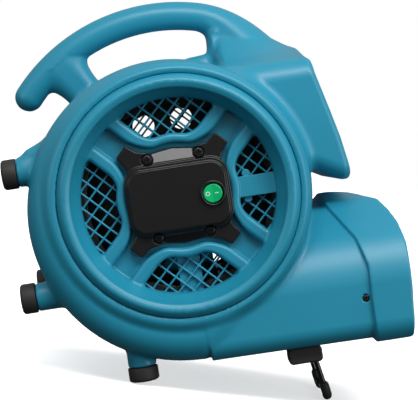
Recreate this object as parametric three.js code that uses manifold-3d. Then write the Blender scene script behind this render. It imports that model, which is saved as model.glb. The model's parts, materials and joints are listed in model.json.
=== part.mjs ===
// Compact centrifugal air mover: a moulded volute housing in two halves, a double-inlet
// squirrel-cage blower on a shaded-pole motor, inlet covers, an ionizer pod, a control console,
// rubber feet and a fold-away wire kickstand.
//
// Millimetres, +Z up. Everything is laid out in the machine's own frame: the impeller axis is
// the Y axis, +X points to the air outlet and +Z is square to the flat underside. The machine
// group then leans back on its kickstand and stands on the floor, centred on its footprint.

import * as THREE from "three";
import { mergeVertices } from "three/addons/utils/BufferGeometryUtils.js";
import Module from "manifold-3d";

const wasm = await Module();
wasm.setup();

// ---- Driving dimensions -----------------------------------------------------------------------

const LEAN = THREE.MathUtils.degToRad(16.3); // nose-up lean on the kickstand
const GAP = 0.3; // air between touching pieces
const WALL = 4; // moulded wall thickness

const SIDE = 131; // flat side walls stand this far from the mid-plane
const EDGE = 25; // rounding from the side walls to the rim
const DRAFT = 2; // how much the rim is larger at the mid-plane
const SCROLL = [ // [angle in degrees, radius of the scroll], ending at the flat underside
  [59, 127],
  [105, 132],
  [150, 139],
  [190, 148.5],
  [240, 157],
  [270, 159.2],
];
const SCROLL_END = 270;
const DRUM_SIDES = 36;

const UNDERSIDE = -160; // flat bottom of the outlet duct
const DUCT_START = 8;
const DUCT_END = 166;
const DUCT_HALF = 128; // duct half-width
const DUCT_CORNER = 18; // rounding of the lower corners
const DUCT_SHOULDER = -75; // height where the sloping upper facets start
const DUCT_RIDGE = { y: 70, z: -31 }; // facet's upper edge
const DUCT_CROWN = -26; // height of the arched top at the mid-plane
const COLLAR_STEP = 4.6; // how far the outlet collar stands out from the duct

const MOUTH_RADIUS = 113.9; // inlet opening in the side walls
const LIP_RADIUS = 104; // seat under the inlet cover
const LIP_FACE = 124;
const BOSS_RADIUS = 124.2;
const BOSS_CREST = 137.3;
const LATHE_SIDES = 30;

const COVER_CREST = 140; // bead of the inlet cover, the widest point of the machine
const COVER_FLOOR = 108.3; // outer face of the cover's hub floor
const COVER_PLATE = 3;
const WINDOW_RADIUS = 92; // outer arc of the four grille windows
const WINDOW_INNER = 56;
const WINDOW_BULGE = 59;
const WINDOW_SPOKE = 24; // half-width of the web between two windows
const RIM_WIDTH = 13.5; // raised rim beside the webs
const RIM_INNER = 9.5; // and on the hub side
const RIM_CREST = 118;
const LATTICE_PITCH = 21.8; // every second bar of the fine moulded lattice
const LATTICE_BAR = 2;

const COVER_ARM = 68; // reach of the black hub cover's arms along the diagonals
const HUB_PLATE = 118; // face of the hub cover's arms
const HUB_PANEL = 126; // face of its raised middle
const HUB_SCREW = { x: 24.5, z: 37 };
const SWITCH_SPOT = { x: 32.2, z: -2.6 };

const HANDLE_RADIUS = 178.3; // handle's centre line, about the impeller axis
const HANDLE_TUBE = 14.2;
const HANDLE_TIP = 138.8; // angles along the handle, in degrees
const HANDLE_ROOT = 50;
const STRUT_ANGLE = 124.2;

const CONSOLE_HALF = 104;
const CONSOLE_EDGE = 4;
const PANEL_LEAN = THREE.MathUtils.degToRad(12.3);
const PANEL_SPOT = { x: 154.2, z: 66 }; // middle of the control panel, on the console's face
const PANEL_HALF = { y: 56, z: 31 };
const PANEL_DEPTH = 10;

const FOOT_RADIUS = 14.4;
const FOOT_Y = 95;
const BASE_FOOT = { x: -58.5, top: -156.7, sole: -170.5 };
const BACK_FOOT_FACE = -162.5;
const BACK_FOOT_TOP = -148;
const BACK_FOOT_Z = { upper: 43, lower: -78 };
const PEDESTAL_RADIUS = 13.4;

const STAND_PIVOT = { x: 106.5, z: -167 };
const STAND_BEND = { x: 115.7, z: -220.3 };
const STAND_WIRE = 2.5;
const STAND_HALF = 47;
const STAND_BOOT = 4.6;
const BRACKET = { from: 80, to: 112.5, bottom: -176.4, inner: 80, outer: 108 };

const WHEEL_RADIUS = 100;
const WHEEL_HALF = 95;
const BLADE_DEPTH = 13;
const BLADE_COUNT = 20;
const WHEEL_HOLE = { radius: 11, reach: 75, angles: [79, 109, 259, 289] };
const SHAFT = 4;
const MOTOR_RADIUS = 48;
const MOTOR_FROM = 26;
const MOTOR_TO = 96;
const MOTOR_BOLT_REACH = 26; // the motor's bolts stand this far from the axis
const MOTOR_CHANNEL = 27; // half-width of the wiring channel behind the far cover

const GUARD = { from: 148, to: 162, bar: 1.2 }; // outlet grid, back and front edge along the duct
const GUARD_SCREW = { x: 158, z: -120, head: 3.1, shank: 1.9 };
const PANEL_SCREW = { y: 51, z: 26 };

// ---- Materials --------------------------------------------------------------------------------

/** One finish of the machine's palette. */
function finish(color, roughness, metalness = 0) {
  return new THREE.MeshStandardMaterial({ color, roughness, metalness });
}

const teal = finish("#2f92b4", 0.42);
const black = finish("#1a1a1b", 0.38);
const rubber = finish("#202123", 0.85);
const greenLens = finish("#12b765", 0.2);
const steel = finish("#9da1a5", 0.35, 1);
const darkSteel = finish("#2a2b2d", 0.45, 1);
const enamel = finish("#3a3d40", 0.5, 0.6);
const copper = finish("#8a4a25", 0.45, 0.8);
const potting = finish("#26282b", 0.6);
const redPlastic = finish("#a3231c", 0.4);

// ---- Solids -----------------------------------------------------------------------------------

/** Turns closed three.js geometry into a solid that can be joined and cut. */
function solid(geometry) {
  geometry.deleteAttribute("normal");
  geometry.deleteAttribute("uv");
  const merged = mergeVertices(geometry, 1e-4);
  const positions = merged.getAttribute("position");
  const faces = [];
  const corners = [new THREE.Vector3(), new THREE.Vector3(), new THREE.Vector3()];
  let volume = 0;
  for (let i = 0; i < merged.index.count; i += 3) {
    const face = [0, 1, 2].map((k) => merged.index.getX(i + k));
    if (new Set(face).size < 3) continue;
    face.forEach((vertex, k) => corners[k].fromBufferAttribute(positions, vertex));
    volume += corners[0].dot(corners[1].clone().cross(corners[2]));
    faces.push(face);
  }
  const outward = volume > 0 ? faces : faces.map(([a, b, c]) => [a, c, b]);
  return new wasm.Manifold(
    new wasm.Mesh({
      numProp: 3,
      vertProperties: new Float32Array(positions.array),
      triVerts: new Uint32Array(outward.flat()),
    })
  );
}

/** Joins a list of solids. */
function join(solids) {
  return solids.reduce((sum, piece) => sum.add(piece));
}

/** Takes every solid of a list out of the first one. */
function cut(body, tools) {
  return tools.reduce((rest, tool) => rest.subtract(tool), body);
}

/** The three.js geometry of a solid. */
function geometryOf(body) {
  const mesh = body.getMesh();
  const geometry = new THREE.BufferGeometry();
  const positions = new Float32Array(mesh.vertProperties);
  const index = new Uint32Array(mesh.triVerts);
  geometry.setAttribute("position", new THREE.BufferAttribute(positions, 3));
  geometry.setIndex(new THREE.BufferAttribute(index, 1));
  geometry.computeVertexNormals();
  return geometry;
}

/** Closed body through rings of equally many points, each end closed by a fan. */
function loft(rings) {
  const sides = rings[0].length;
  const points = rings.flat();
  const index = [];
  for (let ring = 0; ring < rings.length - 1; ring++) {
    for (let side = 0; side < sides; side++) {
      const a = ring * sides + side;
      const b = ring * sides + ((side + 1) % sides);
      index.push(a, b, b + sides, a, b + sides, a + sides);
    }
  }
  for (const ring of [0, rings.length - 1]) {
    const middle = new THREE.Vector3();
    rings[ring].forEach((point) => middle.addScaledVector(point, 1 / sides));
    points.push(middle);
    for (let side = 0; side < sides; side++) {
      const a = ring * sides + side;
      const b = ring * sides + ((side + 1) % sides);
      index.push(...(ring === 0 ? [b, a, points.length - 1] : [a, b, points.length - 1]));
    }
  }
  const geometry = new THREE.BufferGeometry().setFromPoints(points);
  geometry.setIndex(index);
  return solid(geometry);
}

/** Round bar along a list of points, mitred where it turns. */
function bar(points, radius, sides = 12) {
  let normal = new THREE.Vector3(0.31, 0.17, 0.93);
  const rings = points.map((point, i) => {
    const before = points[Math.max(i - 1, 0)];
    const after = points[Math.min(i + 1, points.length - 1)];
    const tangent = after.clone().sub(before).normalize();
    normal = normal.clone().addScaledVector(tangent, -normal.dot(tangent)).normalize();
    const side = new THREE.Vector3().crossVectors(tangent, normal);
    return Array.from({ length: sides }, (_, k) => {
      const angle = (2 * Math.PI * k) / sides;
      return point
        .clone()
        .addScaledVector(normal, radius * Math.cos(angle))
        .addScaledVector(side, radius * Math.sin(angle));
    });
  });
  return loft(rings);
}

/** Outline with its corners rounded; corners are [x, z, radius]. */
function outline(corners, steps = 3) {
  const points = [];
  corners.forEach(([x, z, radius], i) => {
    const at = new THREE.Vector2(x, z);
    if (!radius) {
      points.push(at);
      return;
    }
    const [bx, bz] = corners[(i + corners.length - 1) % corners.length];
    const [ax, az] = corners[(i + 1) % corners.length];
    const back = new THREE.Vector2(bx, bz).sub(at).normalize();
    const ahead = new THREE.Vector2(ax, az).sub(at).normalize();
    const reach = radius / Math.tan(Math.acos(back.dot(ahead)) / 2);
    const start = at.clone().addScaledVector(back, reach);
    const end = at.clone().addScaledVector(ahead, reach);
    const corner = new THREE.QuadraticBezierCurve(start, at, end);
    points.push(...corner.getPoints(steps));
  });
  return new THREE.Shape(points);
}

/** Side-view outline (x, z) given a width from one y to another, with optional bevelled edges. */
function sidePlate(shape, fromY, toY, bevel = 0) {
  const geometry = new THREE.ExtrudeGeometry(shape, {
    depth: toY - fromY - 2 * bevel,
    curveSegments: 8,
    bevelEnabled: bevel > 0,
    bevelThickness: bevel,
    bevelSize: bevel,
    bevelOffset: -bevel,
    bevelSegments: 2,
  });
  geometry.rotateX(Math.PI / 2);
  geometry.translate(0, toY - bevel, 0);
  return solid(geometry);
}

/** Cross-section (y, z) run along x. */
function alongX(shape, fromX, toX) {
  const geometry = new THREE.ExtrudeGeometry(shape, { depth: toX - fromX, bevelEnabled: false });
  const axes = new THREE.Matrix4().makeBasis(
    new THREE.Vector3(0, 1, 0),
    new THREE.Vector3(0, 0, 1),
    new THREE.Vector3(1, 0, 0)
  );
  geometry.applyMatrix4(axes);
  geometry.translate(fromX, 0, 0);
  return solid(geometry);
}

/** Profile [radius, y] turned about the Y axis. */
function turned(profile, sides = LATHE_SIDES) {
  const points = profile.map(([radius, y]) => new THREE.Vector2(radius, y));
  if (profile[0][0] > 0) points.push(points[0].clone());
  return solid(new THREE.LatheGeometry(points, sides));
}

/** Ring or disc about the Y axis through (x, z). */
function disc(radius, fromY, toY, x = 0, z = 0, sides = 20) {
  const geometry = new THREE.CylinderGeometry(radius, radius, Math.abs(toY - fromY), sides);
  geometry.translate(x, (fromY + toY) / 2, z);
  return solid(geometry);
}

/** Cylinder about an upright axis. */
function post(radius, fromZ, toZ, x, y, sides = 20) {
  const geometry = new THREE.CylinderGeometry(radius, radius, toZ - fromZ, sides);
  geometry.rotateX(Math.PI / 2);
  geometry.translate(x, y, (fromZ + toZ) / 2);
  return solid(geometry);
}

/** Cylinder about an axis along x. */
function peg(radius, fromX, toX, y, z, sides = 20) {
  const geometry = new THREE.CylinderGeometry(radius, radius, toX - fromX, sides);
  geometry.rotateZ(Math.PI / 2);
  geometry.translate((fromX + toX) / 2, y, z);
  return solid(geometry);
}

/** Box between two corners. */
function block(low, high) {
  const size = high.map((value, i) => value - low[i]);
  const geometry = new THREE.BoxGeometry(...size);
  geometry.translate(...low.map((value, i) => value + size[i] / 2));
  return solid(geometry);
}

/** The same solid on the other side of the mid-plane. */
function mirrored(body) {
  const geometry = geometryOf(body);
  geometry.scale(1, -1, 1);
  return solid(geometry);
}

/** Point on a circle about the impeller axis, angles in degrees from +x towards +z. */
function polar(radius, degrees, y = 0) {
  const angle = THREE.MathUtils.degToRad(degrees);
  return new THREE.Vector3(radius * Math.cos(angle), y, radius * Math.sin(angle));
}

/** The four corners of a rectangle about the origin, as [x, z] pairs. */
function fourCorners(x, z) {
  return [
    [-x, -z],
    [-x, z],
    [x, -z],
    [x, z],
  ];
}

// ---- The machine's groups ---------------------------------------------------------------------

const machine = new THREE.Group();
machine.rotation.y = -LEAN;

const panelFrame = new THREE.Group();
panelFrame.position.set(PANEL_SPOT.x, 0, PANEL_SPOT.z);
panelFrame.rotation.y = -PANEL_LEAN;
panelFrame.updateMatrix();
machine.add(panelFrame);

/** Adds one named piece. */
function piece(name, body, material, parent = machine) {
  const mesh = new THREE.Mesh(geometryOf(body), material);
  mesh.name = name;
  parent.add(mesh);
}

/** A solid drawn in the control panel's frame, moved into the machine's frame. */
function fromPanel(body) {
  const geometry = geometryOf(body);
  geometry.applyMatrix4(panelFrame.matrix);
  return solid(geometry);
}

// ---- Housing ----------------------------------------------------------------------------------

/** Scroll radius at an angle from -90 to 270 degrees; below 0 it hides inside the duct. */
function scrollRadius(degrees) {
  const [, smallest] = SCROLL[0];
  const [, largest] = SCROLL[SCROLL.length - 1];
  const next = SCROLL.findIndex(([angle]) => angle >= degrees);
  if (next < 1) {
    const hidden = THREE.MathUtils.smoothstep(degrees, -90, -62);
    return THREE.MathUtils.lerp(largest, smallest, hidden);
  }
  const [fromAngle, fromRadius] = SCROLL[next - 1];
  const [toAngle, toRadius] = SCROLL[next];
  return THREE.MathUtils.mapLinear(degrees, fromAngle, toAngle, fromRadius, toRadius);
}

/** Drum between the side walls; inset makes it smaller all round. */
function drum(inset) {
  const rounding = EDGE - inset;
  const turn = [0, 45, 90].map((angle) => THREE.MathUtils.degToRad(angle));
  const layers = turn.map((angle) => ({
    y: SIDE - EDGE + rounding * Math.sin(angle),
    shrink: inset + DRAFT + rounding * (1 - Math.cos(angle)),
  }));
  const all = [
    ...layers.map(({ y, shrink }) => ({ y: -y, shrink })).reverse(),
    { y: 0, shrink: inset },
    ...layers,
  ];
  const rings = all.map(({ y, shrink }) =>
    Array.from({ length: DRUM_SIDES }, (_, k) => {
      const degrees = SCROLL_END - (360 * k) / DRUM_SIDES;
      return polar(scrollRadius(degrees) - shrink, degrees, y);
    })
  );
  return loft(rings);
}

/** Duct cross-section (y, z), grown by an offset. */
function ductSection(offset) {
  const half = DUCT_HALF + offset;
  const bottom = UNDERSIDE - offset;
  const shoulder = DUCT_SHOULDER + 0.4 * offset;
  const ridge = [DUCT_RIDGE.y + 0.35 * offset, DUCT_RIDGE.z + offset];
  const corner = DUCT_CORNER + offset;
  return outline([
    [-half, bottom, corner],
    [half, bottom, corner],
    [half, shoulder, 0],
    [ridge[0], ridge[1], 0],
    [0, DUCT_CROWN + offset, 0],
    [-ridge[0], ridge[1], 0],
    [-half, shoulder, 0],
  ]);
}

/** Side view of the outlet collar: a stepped rear edge and a rounded, raked mouth. */
const collarSide = outline([
  [163.5, -166, 0],
  [163.5, -120, 0],
  [165.5, -95, 0],
  [162, -70, 0],
  [152, -48, 0],
  [139, -32, 0],
  [137, -10, 0],
  [184, -10, 0],
  [184, -31, 0],
  [193, -43, 0],
  [198.5, -51.5, 0],
  [202.4, -62, 0],
  [203.7, -82, 0],
  [202.5, -113.6, 0],
  [199, -166, 6],
]);

/** Side view of the console and its neck up to the handle. */
const consoleSide = outline([
  [90, 85, 0],
  [80, 122, 0],
  [96, 146, 0],
  [113, 144, 0],
  [136.5, 126, 8],
  [147, 95, 0],
  [155.9, 59.6, 0],
  [162.2, 31.4, 0],
  [168.3, -4, 5],
  [160, -11.2, 5],
  [131.7, 3.5, 0],
  [110, 3.5, 0],
]);

/** Limits the console from the front: shoulders fall away from a ridge under the handle. */
function consoleSection(inset) {
  const half = CONSOLE_HALF - inset;
  return outline([
    [-half, -30, 0],
    [half, -30, 0],
    [half, 94 - inset, 0],
    [84 - inset, 112 - inset, 0],
    [30, 136 - inset, 0],
    [0, 156 - inset, 0],
    [-30, 136 - inset, 0],
    [inset - 84, 112 - inset, 0],
    [-half, 94 - inset, 0],
  ]);
}

/** Neck that widens from the handle's tube to the console. */
function neck(inset) {
  const stations = [
    { angle: 70, inner: 156, outer: 192.5, half: 14.5 },
    { angle: 65, inner: 134, outer: 189.8, half: 17 },
    { angle: 59, inner: 118, outer: 187.2, half: 26 },
    { angle: 52, inner: 112, outer: 183.4, half: 38 },
    { angle: 44, inner: 108, outer: 180.5, half: 48 },
  ];
  const rings = stations.map(({ angle, inner, outer, half }) => {
    const middle = (inner + outer) / 2;
    return Array.from({ length: 16 }, (_, k) => {
      const turn = (-2 * Math.PI * k) / 16;
      const square = 0.55;
      const across = Math.sign(Math.cos(turn)) * Math.abs(Math.cos(turn)) ** square;
      const along = Math.sign(Math.sin(turn)) * Math.abs(Math.sin(turn)) ** square;
      const radius = middle + ((outer - inner) / 2 - inset) * along;
      return polar(radius, angle, (half - inset) * across);
    });
  });
  return loft(rings);
}

/** Arc of the handle's centre line. */
function handleArc(fromDegrees, toDegrees, steps) {
  return Array.from({ length: steps + 1 }, (_, i) =>
    polar(HANDLE_RADIUS, THREE.MathUtils.lerp(fromDegrees, toDegrees, i / steps))
  );
}

/** Strut that ties the handle to the drum, flared at both ends. */
function strut(inset) {
  const stations = [
    { radius: 132, along: 25, half: 22 },
    { radius: 147, along: 18.5, half: 15 },
    { radius: 158, along: 18.5, half: 13 },
    { radius: 172, along: 22, half: 11 },
  ];
  const across = polar(1, STRUT_ANGLE + 90);
  const rings = stations.map(({ radius, along, half }) =>
    Array.from({ length: 12 }, (_, k) => {
      const turn = (2 * Math.PI * k) / 12;
      return polar(radius, STRUT_ANGLE, (half - inset) * Math.sin(turn)).addScaledVector(
        across,
        (along - inset) * Math.cos(turn)
      );
    })
  );
  return loft(rings);
}

/** Sphere about a point of the handle. */
function handleEnd(radius) {
  const geometry = new THREE.SphereGeometry(radius, 12, 8);
  geometry.translate(...polar(HANDLE_RADIUS, HANDLE_TIP).toArray());
  return solid(geometry);
}

const pedestals = [];
const pedestalBores = [];
for (const side of [-1, 1]) {
  const y = side * FOOT_Y;
  for (const z of Object.values(BACK_FOOT_Z)) {
    pedestals.push(peg(PEDESTAL_RADIUS, BACK_FOOT_TOP + GAP, -112, y, z, 12));
    pedestalBores.push(peg(PEDESTAL_RADIUS - WALL, BACK_FOOT_TOP + GAP + WALL, -112, y, z, 8));
  }
  const fairing = outline([
    [BACK_FOOT_TOP + GAP, BACK_FOOT_Z.upper, 0],
    [BACK_FOOT_TOP + GAP, BACK_FOOT_Z.upper + PEDESTAL_RADIUS, 0],
    [-118, 71, 0],
    [-118, BACK_FOOT_Z.upper, 0],
  ]);
  pedestals.push(sidePlate(fairing, y - 8, y + 8));
  const foot = BASE_FOOT.top + GAP;
  pedestals.push(post(PEDESTAL_RADIUS, foot, -125, BASE_FOOT.x, y, 12));
  pedestalBores.push(post(PEDESTAL_RADIUS - WALL, foot + WALL, -125, BASE_FOOT.x, y, 8));
}

const collarBody = alongX(ductSection(COLLAR_STEP), 130, 210).intersect(
  sidePlate(collarSide, -140, 140)
);
const drumOuter = drum(0);
const ductOuter = alongX(ductSection(0), DUCT_START, DUCT_END);
const consoleOuter = sidePlate(consoleSide, -CONSOLE_HALF, CONSOLE_HALF, CONSOLE_EDGE).intersect(
  alongX(consoleSection(0), 50, 200)
);

const outer = join([
  drumOuter,
  ductOuter,
  collarBody,
  consoleOuter,
  neck(0),
  bar(handleArc(HANDLE_TIP, HANDLE_ROOT + 15, 14), HANDLE_TUBE),
  handleEnd(HANDLE_TUBE),
  strut(0),
  ...pedestals,
]);

/** Space inside the console, in front of the drum and under the neck. */
const consoleInside = outline([
  [95, 90, 0],
  [88, 121, 0],
  [101, 134, 0],
  [112, 135, 0],
  [130, 119, 8],
  [143, 94, 0],
  [151.6, 59.6, 0],
  [158, 31.4, 0],
  [162.5, 1, 0],
  [133, 8, 0],
]);
const panelPocket = fromPanel(
  block([-PANEL_DEPTH, -PANEL_HALF.y, -PANEL_HALF.z], [30, PANEL_HALF.y, PANEL_HALF.z])
);
const panelWindow = fromPanel(
  block(
    [-PANEL_DEPTH - 8, 6 - PANEL_HALF.y, 6 - PANEL_HALF.z],
    [0, PANEL_HALF.y - 6, PANEL_HALF.z - 6]
  )
);
const panelBacking = fromPanel(
  block(
    [-PANEL_DEPTH - WALL, -PANEL_HALF.y - WALL, -PANEL_HALF.z - WALL],
    [-2, PANEL_HALF.y + WALL, PANEL_HALF.z + WALL]
  )
);
const consoleRoom = sidePlate(consoleInside, WALL - CONSOLE_HALF, CONSOLE_HALF - WALL).intersect(
  alongX(consoleSection(WALL), 50, 200)
);
const consoleVoid = cut(consoleRoom, [drumOuter, panelBacking]);

const voids = [
  drum(WALL),
  alongX(ductSection(-WALL), DUCT_START + WALL, 215),
  alongX(ductSection(0), DUCT_END + 4, 215),
  consoleVoid,
  cut(neck(WALL), [drumOuter]),
  bar(handleArc(HANDLE_TIP, HANDLE_ROOT + 14, 14), HANDLE_TUBE - WALL, 6),
  cut(strut(WALL), [drumOuter]),
  ...pedestalBores,
];

/** Raised boss and inner seat around one inlet, before its mouth is cut. */
const inletBoss = turned([
  [LIP_RADIUS - 3, LIP_FACE - WALL],
  [LIP_RADIUS - 3, BOSS_CREST],
  [117.5, BOSS_CREST],
  [BOSS_RADIUS, SIDE],
  [BOSS_RADIUS, LIP_FACE - WALL],
]);
const inletBore = disc(LIP_RADIUS, 60, 150, 0, 0, LATHE_SIDES);
const inletSeat = disc(MOUTH_RADIUS, LIP_FACE, 150, 0, 0, LATHE_SIDES);

const GUARD_SCREW_SEAT = DUCT_HALF - 1.6;
const guardScrewHole = join([
  disc(GUARD_SCREW.shank + GAP, 100, 140, GUARD_SCREW.x, GUARD_SCREW.z, 12),
  disc(GUARD_SCREW.head + GAP, GUARD_SCREW_SEAT, 140, GUARD_SCREW.x, GUARD_SCREW.z, 12),
]);
const panelScrewSpots = fourCorners(PANEL_SCREW.y, PANEL_SCREW.z);
const panelScrewHoles = panelScrewSpots.map(([y, z]) =>
  fromPanel(peg(2.2, -PANEL_DEPTH - 12, 0, y, z, 8))
);

const shell = cut(cut(outer, voids).add(inletBoss).add(mirrored(inletBoss)), [
  inletBore,
  mirrored(inletBore),
  inletSeat,
  mirrored(inletSeat),
  guardScrewHole,
  mirrored(guardScrewHole),
  panelPocket,
  panelWindow,
  ...panelScrewHoles,
]);

const SPAN = 300;
const nearHalf = block([-SPAN, -SPAN, -SPAN], [SPAN, -GAP / 2, SPAN]);
const farHalf = block([-SPAN, GAP / 2, -SPAN], [SPAN, SPAN, SPAN]);
piece("housing_shell_near", shell.intersect(nearHalf), teal);
piece("housing_shell_far", shell.intersect(farHalf), teal);

// ---- Inlet covers -----------------------------------------------------------------------------

/** One grille window in side view, grown by an offset, turned to its place on the cover. */
function windowOutline(offset, degrees, outerRadius) {
  const slant = (WINDOW_SPOKE - offset) * Math.SQRT2;
  const radius = outerRadius + offset;
  const half = (Math.sqrt(2 * radius ** 2 - slant ** 2) - slant) / 2;
  const hubSide = Math.min(offset, RIM_INNER);
  const inner = WINDOW_INNER - hubSide;
  const foot = inner - slant;
  const reach = Math.atan2(half, half + slant);
  const arc = Array.from({ length: 7 }, (_, i) => {
    const angle = reach * (1 - (2 * i) / 6);
    return [radius * Math.cos(angle), radius * Math.sin(angle), 0];
  });
  const flat = [
    ...arc,
    [inner, -foot, 7],
    [WINDOW_BULGE - hubSide, 0, 0],
    [inner, foot, 7],
  ];
  const turn = THREE.MathUtils.degToRad(degrees);
  return outline(
    flat.map(([along, side, round]) => [
      along * Math.cos(turn) - side * Math.sin(turn),
      along * Math.sin(turn) + side * Math.cos(turn),
      round,
    ])
  );
}

/** Diagonal lattice over the whole cover, before it is trimmed to the windows. */
function lattice(fromY, toY) {
  const bars = [];
  const count = Math.ceil(WINDOW_RADIUS / LATTICE_PITCH);
  for (const degrees of [45, 135]) {
    for (let i = -count; i <= count; i++) {
      const strip = new THREE.BoxGeometry(2 * WINDOW_RADIUS + 20, toY - fromY, LATTICE_BAR);
      strip.translate(0, (fromY + toY) / 2, (i + 0.07) * LATTICE_PITCH);
      strip.rotateY(-THREE.MathUtils.degToRad(degrees));
      bars.push(solid(strip));
    }
  }
  return join(bars);
}

const WINDOW_TURNS = [0, 90, 180, 270];
const FLOOR_BACK = COVER_FLOOR - COVER_PLATE;
const hubScrewSpots = fourCorners(HUB_SCREW.x, HUB_SCREW.z);

/** Round inlet cover with a beaded rim, four lattice windows and a cross-shaped recess. */
function inletCover() {
  const dish = turned([
    [MOUTH_RADIUS - GAP, LIP_FACE + GAP],
    [MOUTH_RADIUS - GAP, 135.5],
    [111.5, 138.6],
    [107, COVER_CREST],
    [102.5, 138.3],
    [100, 134.5],
    [WINDOW_RADIUS + 0.4, RIM_CREST],
    [WINDOW_RADIUS + 0.4, FLOOR_BACK],
    [96.5, FLOOR_BACK],
    [103.4, LIP_FACE + GAP],
  ]);
  const floor = disc(94, FLOOR_BACK, COVER_FLOOR, 0, 0, LATHE_SIDES);
  const inside = disc(WINDOW_RADIUS + 3, FLOOR_BACK, 150, 0, 0, LATHE_SIDES);
  const rims = WINDOW_TURNS.map((turn) => {
    const grown = windowOutline(RIM_WIDTH, turn, WINDOW_RADIUS - RIM_WIDTH + 2);
    return sidePlate(grown, COVER_FLOOR - 1, RIM_CREST);
  });
  const openings = WINDOW_TURNS.map((turn) =>
    sidePlate(windowOutline(0, turn, WINDOW_RADIUS), 90, 150)
  );
  const holes = hubScrewSpots.map(([x, z]) => disc(2.4, 90, 115, x, z, 8));
  const web = cut(join([dish, floor, ...rims.map((rim) => rim.intersect(inside))]), openings);
  const bars = lattice(FLOOR_BACK + 1, COVER_FLOOR + 0.7).intersect(
    join(WINDOW_TURNS.map((turn) => sidePlate(windowOutline(0.6, turn, WINDOW_RADIUS), 90, 150)))
  );
  return cut(join([web, bars]), holes);
}

/** Bar across the outlet-side window, and what stands behind the lower window on each side. */
const wireBar = block([56, RIM_CREST - 6, -11], [93, RIM_CREST - 2, 8.5]);
const lowerRib = block([-11, FLOOR_BACK - 2.5, -93.5], [11, FLOOR_BACK + 1.5, -57]);
const motorChannel = block(
  [-MOTOR_CHANNEL, FLOOR_BACK - 2.5, -93.5],
  [MOTOR_CHANNEL, FLOOR_BACK + 1.5, -57]
);
const motorBoltSpots = [45, 135, 225, 315].map((degrees) => polar(MOTOR_BOLT_REACH, degrees));
const motorBoltHoles = motorBoltSpots.map(({ x, z }) => disc(2.6, 90, 115, x, z, 8));

const screwBosses = hubScrewSpots.map(([x, z]) =>
  disc(5, FLOOR_BACK - 7, FLOOR_BACK + 1, x, z, 8).subtract(disc(2.4, 90, 115, x, z, 8))
);
const plainCover = inletCover();
piece("inlet_cover_near", mirrored(join([plainCover, wireBar, lowerRib, ...screwBosses])), teal);
piece("inlet_cover_far", cut(plainCover.add(motorChannel), motorBoltHoles), teal);

// ---- Hub covers and ionizer -------------------------------------------------------------------

/** Cross-shaped hub cover with a raised middle, hollow behind. */
function hubCover(extraCuts = []) {
  const a = COVER_ARM / Math.SQRT2;
  const t = 7.6 / Math.SQRT2;
  const waist = 43.2;
  const quarter = [
    [a + t, a - t],
    [a - t, a + t],
    [33, waist + 2],
    [18, waist],
    [0, waist + 2],
    [-18, waist],
    [-33, waist + 2],
  ];
  const cross = [0, 90, 180, 270].flatMap((degrees) =>
    quarter.map(([x, z]) => {
      const turn = THREE.MathUtils.degToRad(degrees);
      return [
        x * Math.cos(turn) - z * Math.sin(turn),
        x * Math.sin(turn) + z * Math.cos(turn),
        0,
      ];
    })
  );
  const plate = sidePlate(outline(cross), COVER_FLOOR + GAP, HUB_PLATE);
  const raised = outline([
    [-46, -31, 13],
    [46, -31, 13],
    [46, 26.5, 15],
    [-46, 26.5, 15],
  ]);
  const panel = sidePlate(raised, HUB_PLATE - 3, HUB_PANEL, 2);
  const hollow = outline([
    [-41, -28, 8],
    [44, -28, 8],
    [44, 23.5, 8],
    [-41, 23.5, 8],
  ]);
  const pocket = sidePlate(hollow, 100, HUB_PANEL - 2.5);
  const counterbores = hubScrewSpots.map(([x, z]) => disc(5.1, HUB_PLATE - 3.5, 130, x, z, 12));
  const holes = hubScrewSpots.map(([x, z]) => disc(2.4, 100, 130, x, z, 8));
  return cut(join([plate, panel]), [pocket, ...counterbores, ...holes, ...extraCuts]);
}

const SWITCH_RADIUS = 9.3;
const switchHole = disc(11, 110, 140, SWITCH_SPOT.x, SWITCH_SPOT.z);
piece("ion_cover", mirrored(hubCover([switchHole])), black);
piece("hub_cover_far", hubCover(), black);

/** Pan-head screw along y, head outward at +y, with a slot across the head. */
function panScrew(headY, headRadius, headHeight, shankRadius, length) {
  const head = turned(
    [
      [0, headY - length],
      [shankRadius, headY - length],
      [shankRadius, headY],
      [headRadius, headY],
      [headRadius, headY + headHeight * 0.55],
      [headRadius * 0.7, headY + headHeight],
      [0, headY + headHeight],
    ],
    8
  );
  const slot = headRadius * 0.5;
  const depth = headY + headHeight * 0.4;
  return head.subtract(block([-slot, depth, -0.6], [slot, headY + headHeight + 1, 0.6]));
}

/** Puts a piece at a spot of the side view. */
function placed(name, body, material, x, z) {
  piece(name, body, material);
  machine.children[machine.children.length - 1].position.set(x, 0, z);
}

const ionScrew = panScrew(HUB_PLATE - 3.2, 4.8, 2.8, 2.1, 14);
const hubScrew = panScrew(HUB_PLATE - 3.2, 4.8, 2.8, 2.1, 9);
hubScrewSpots.forEach(([x, z], i) => {
  placed(`ion_cover_screw_${i + 1}`, mirrored(ionScrew), darkSteel, x, z);
  placed(`hub_cover_screw_${i + 1}`, hubScrew, darkSteel, x, z);
});

const switchBody = cut(
  join([
    disc(12.2, HUB_PANEL + GAP, HUB_PANEL + 3, SWITCH_SPOT.x, SWITCH_SPOT.z),
    disc(10.6, 112.5, HUB_PANEL + 1, SWITCH_SPOT.x, SWITCH_SPOT.z),
  ]),
  [disc(SWITCH_RADIUS + 0.4, HUB_PANEL - 6, 140, SWITCH_SPOT.x, SWITCH_SPOT.z)]
);
piece("ion_switch_body", mirrored(switchBody), black);

const ROCKER = { axis: HUB_PANEL - 1.4, tilt: 7, half: 8.3 }; // pivot's distance from the mid-plane

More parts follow.
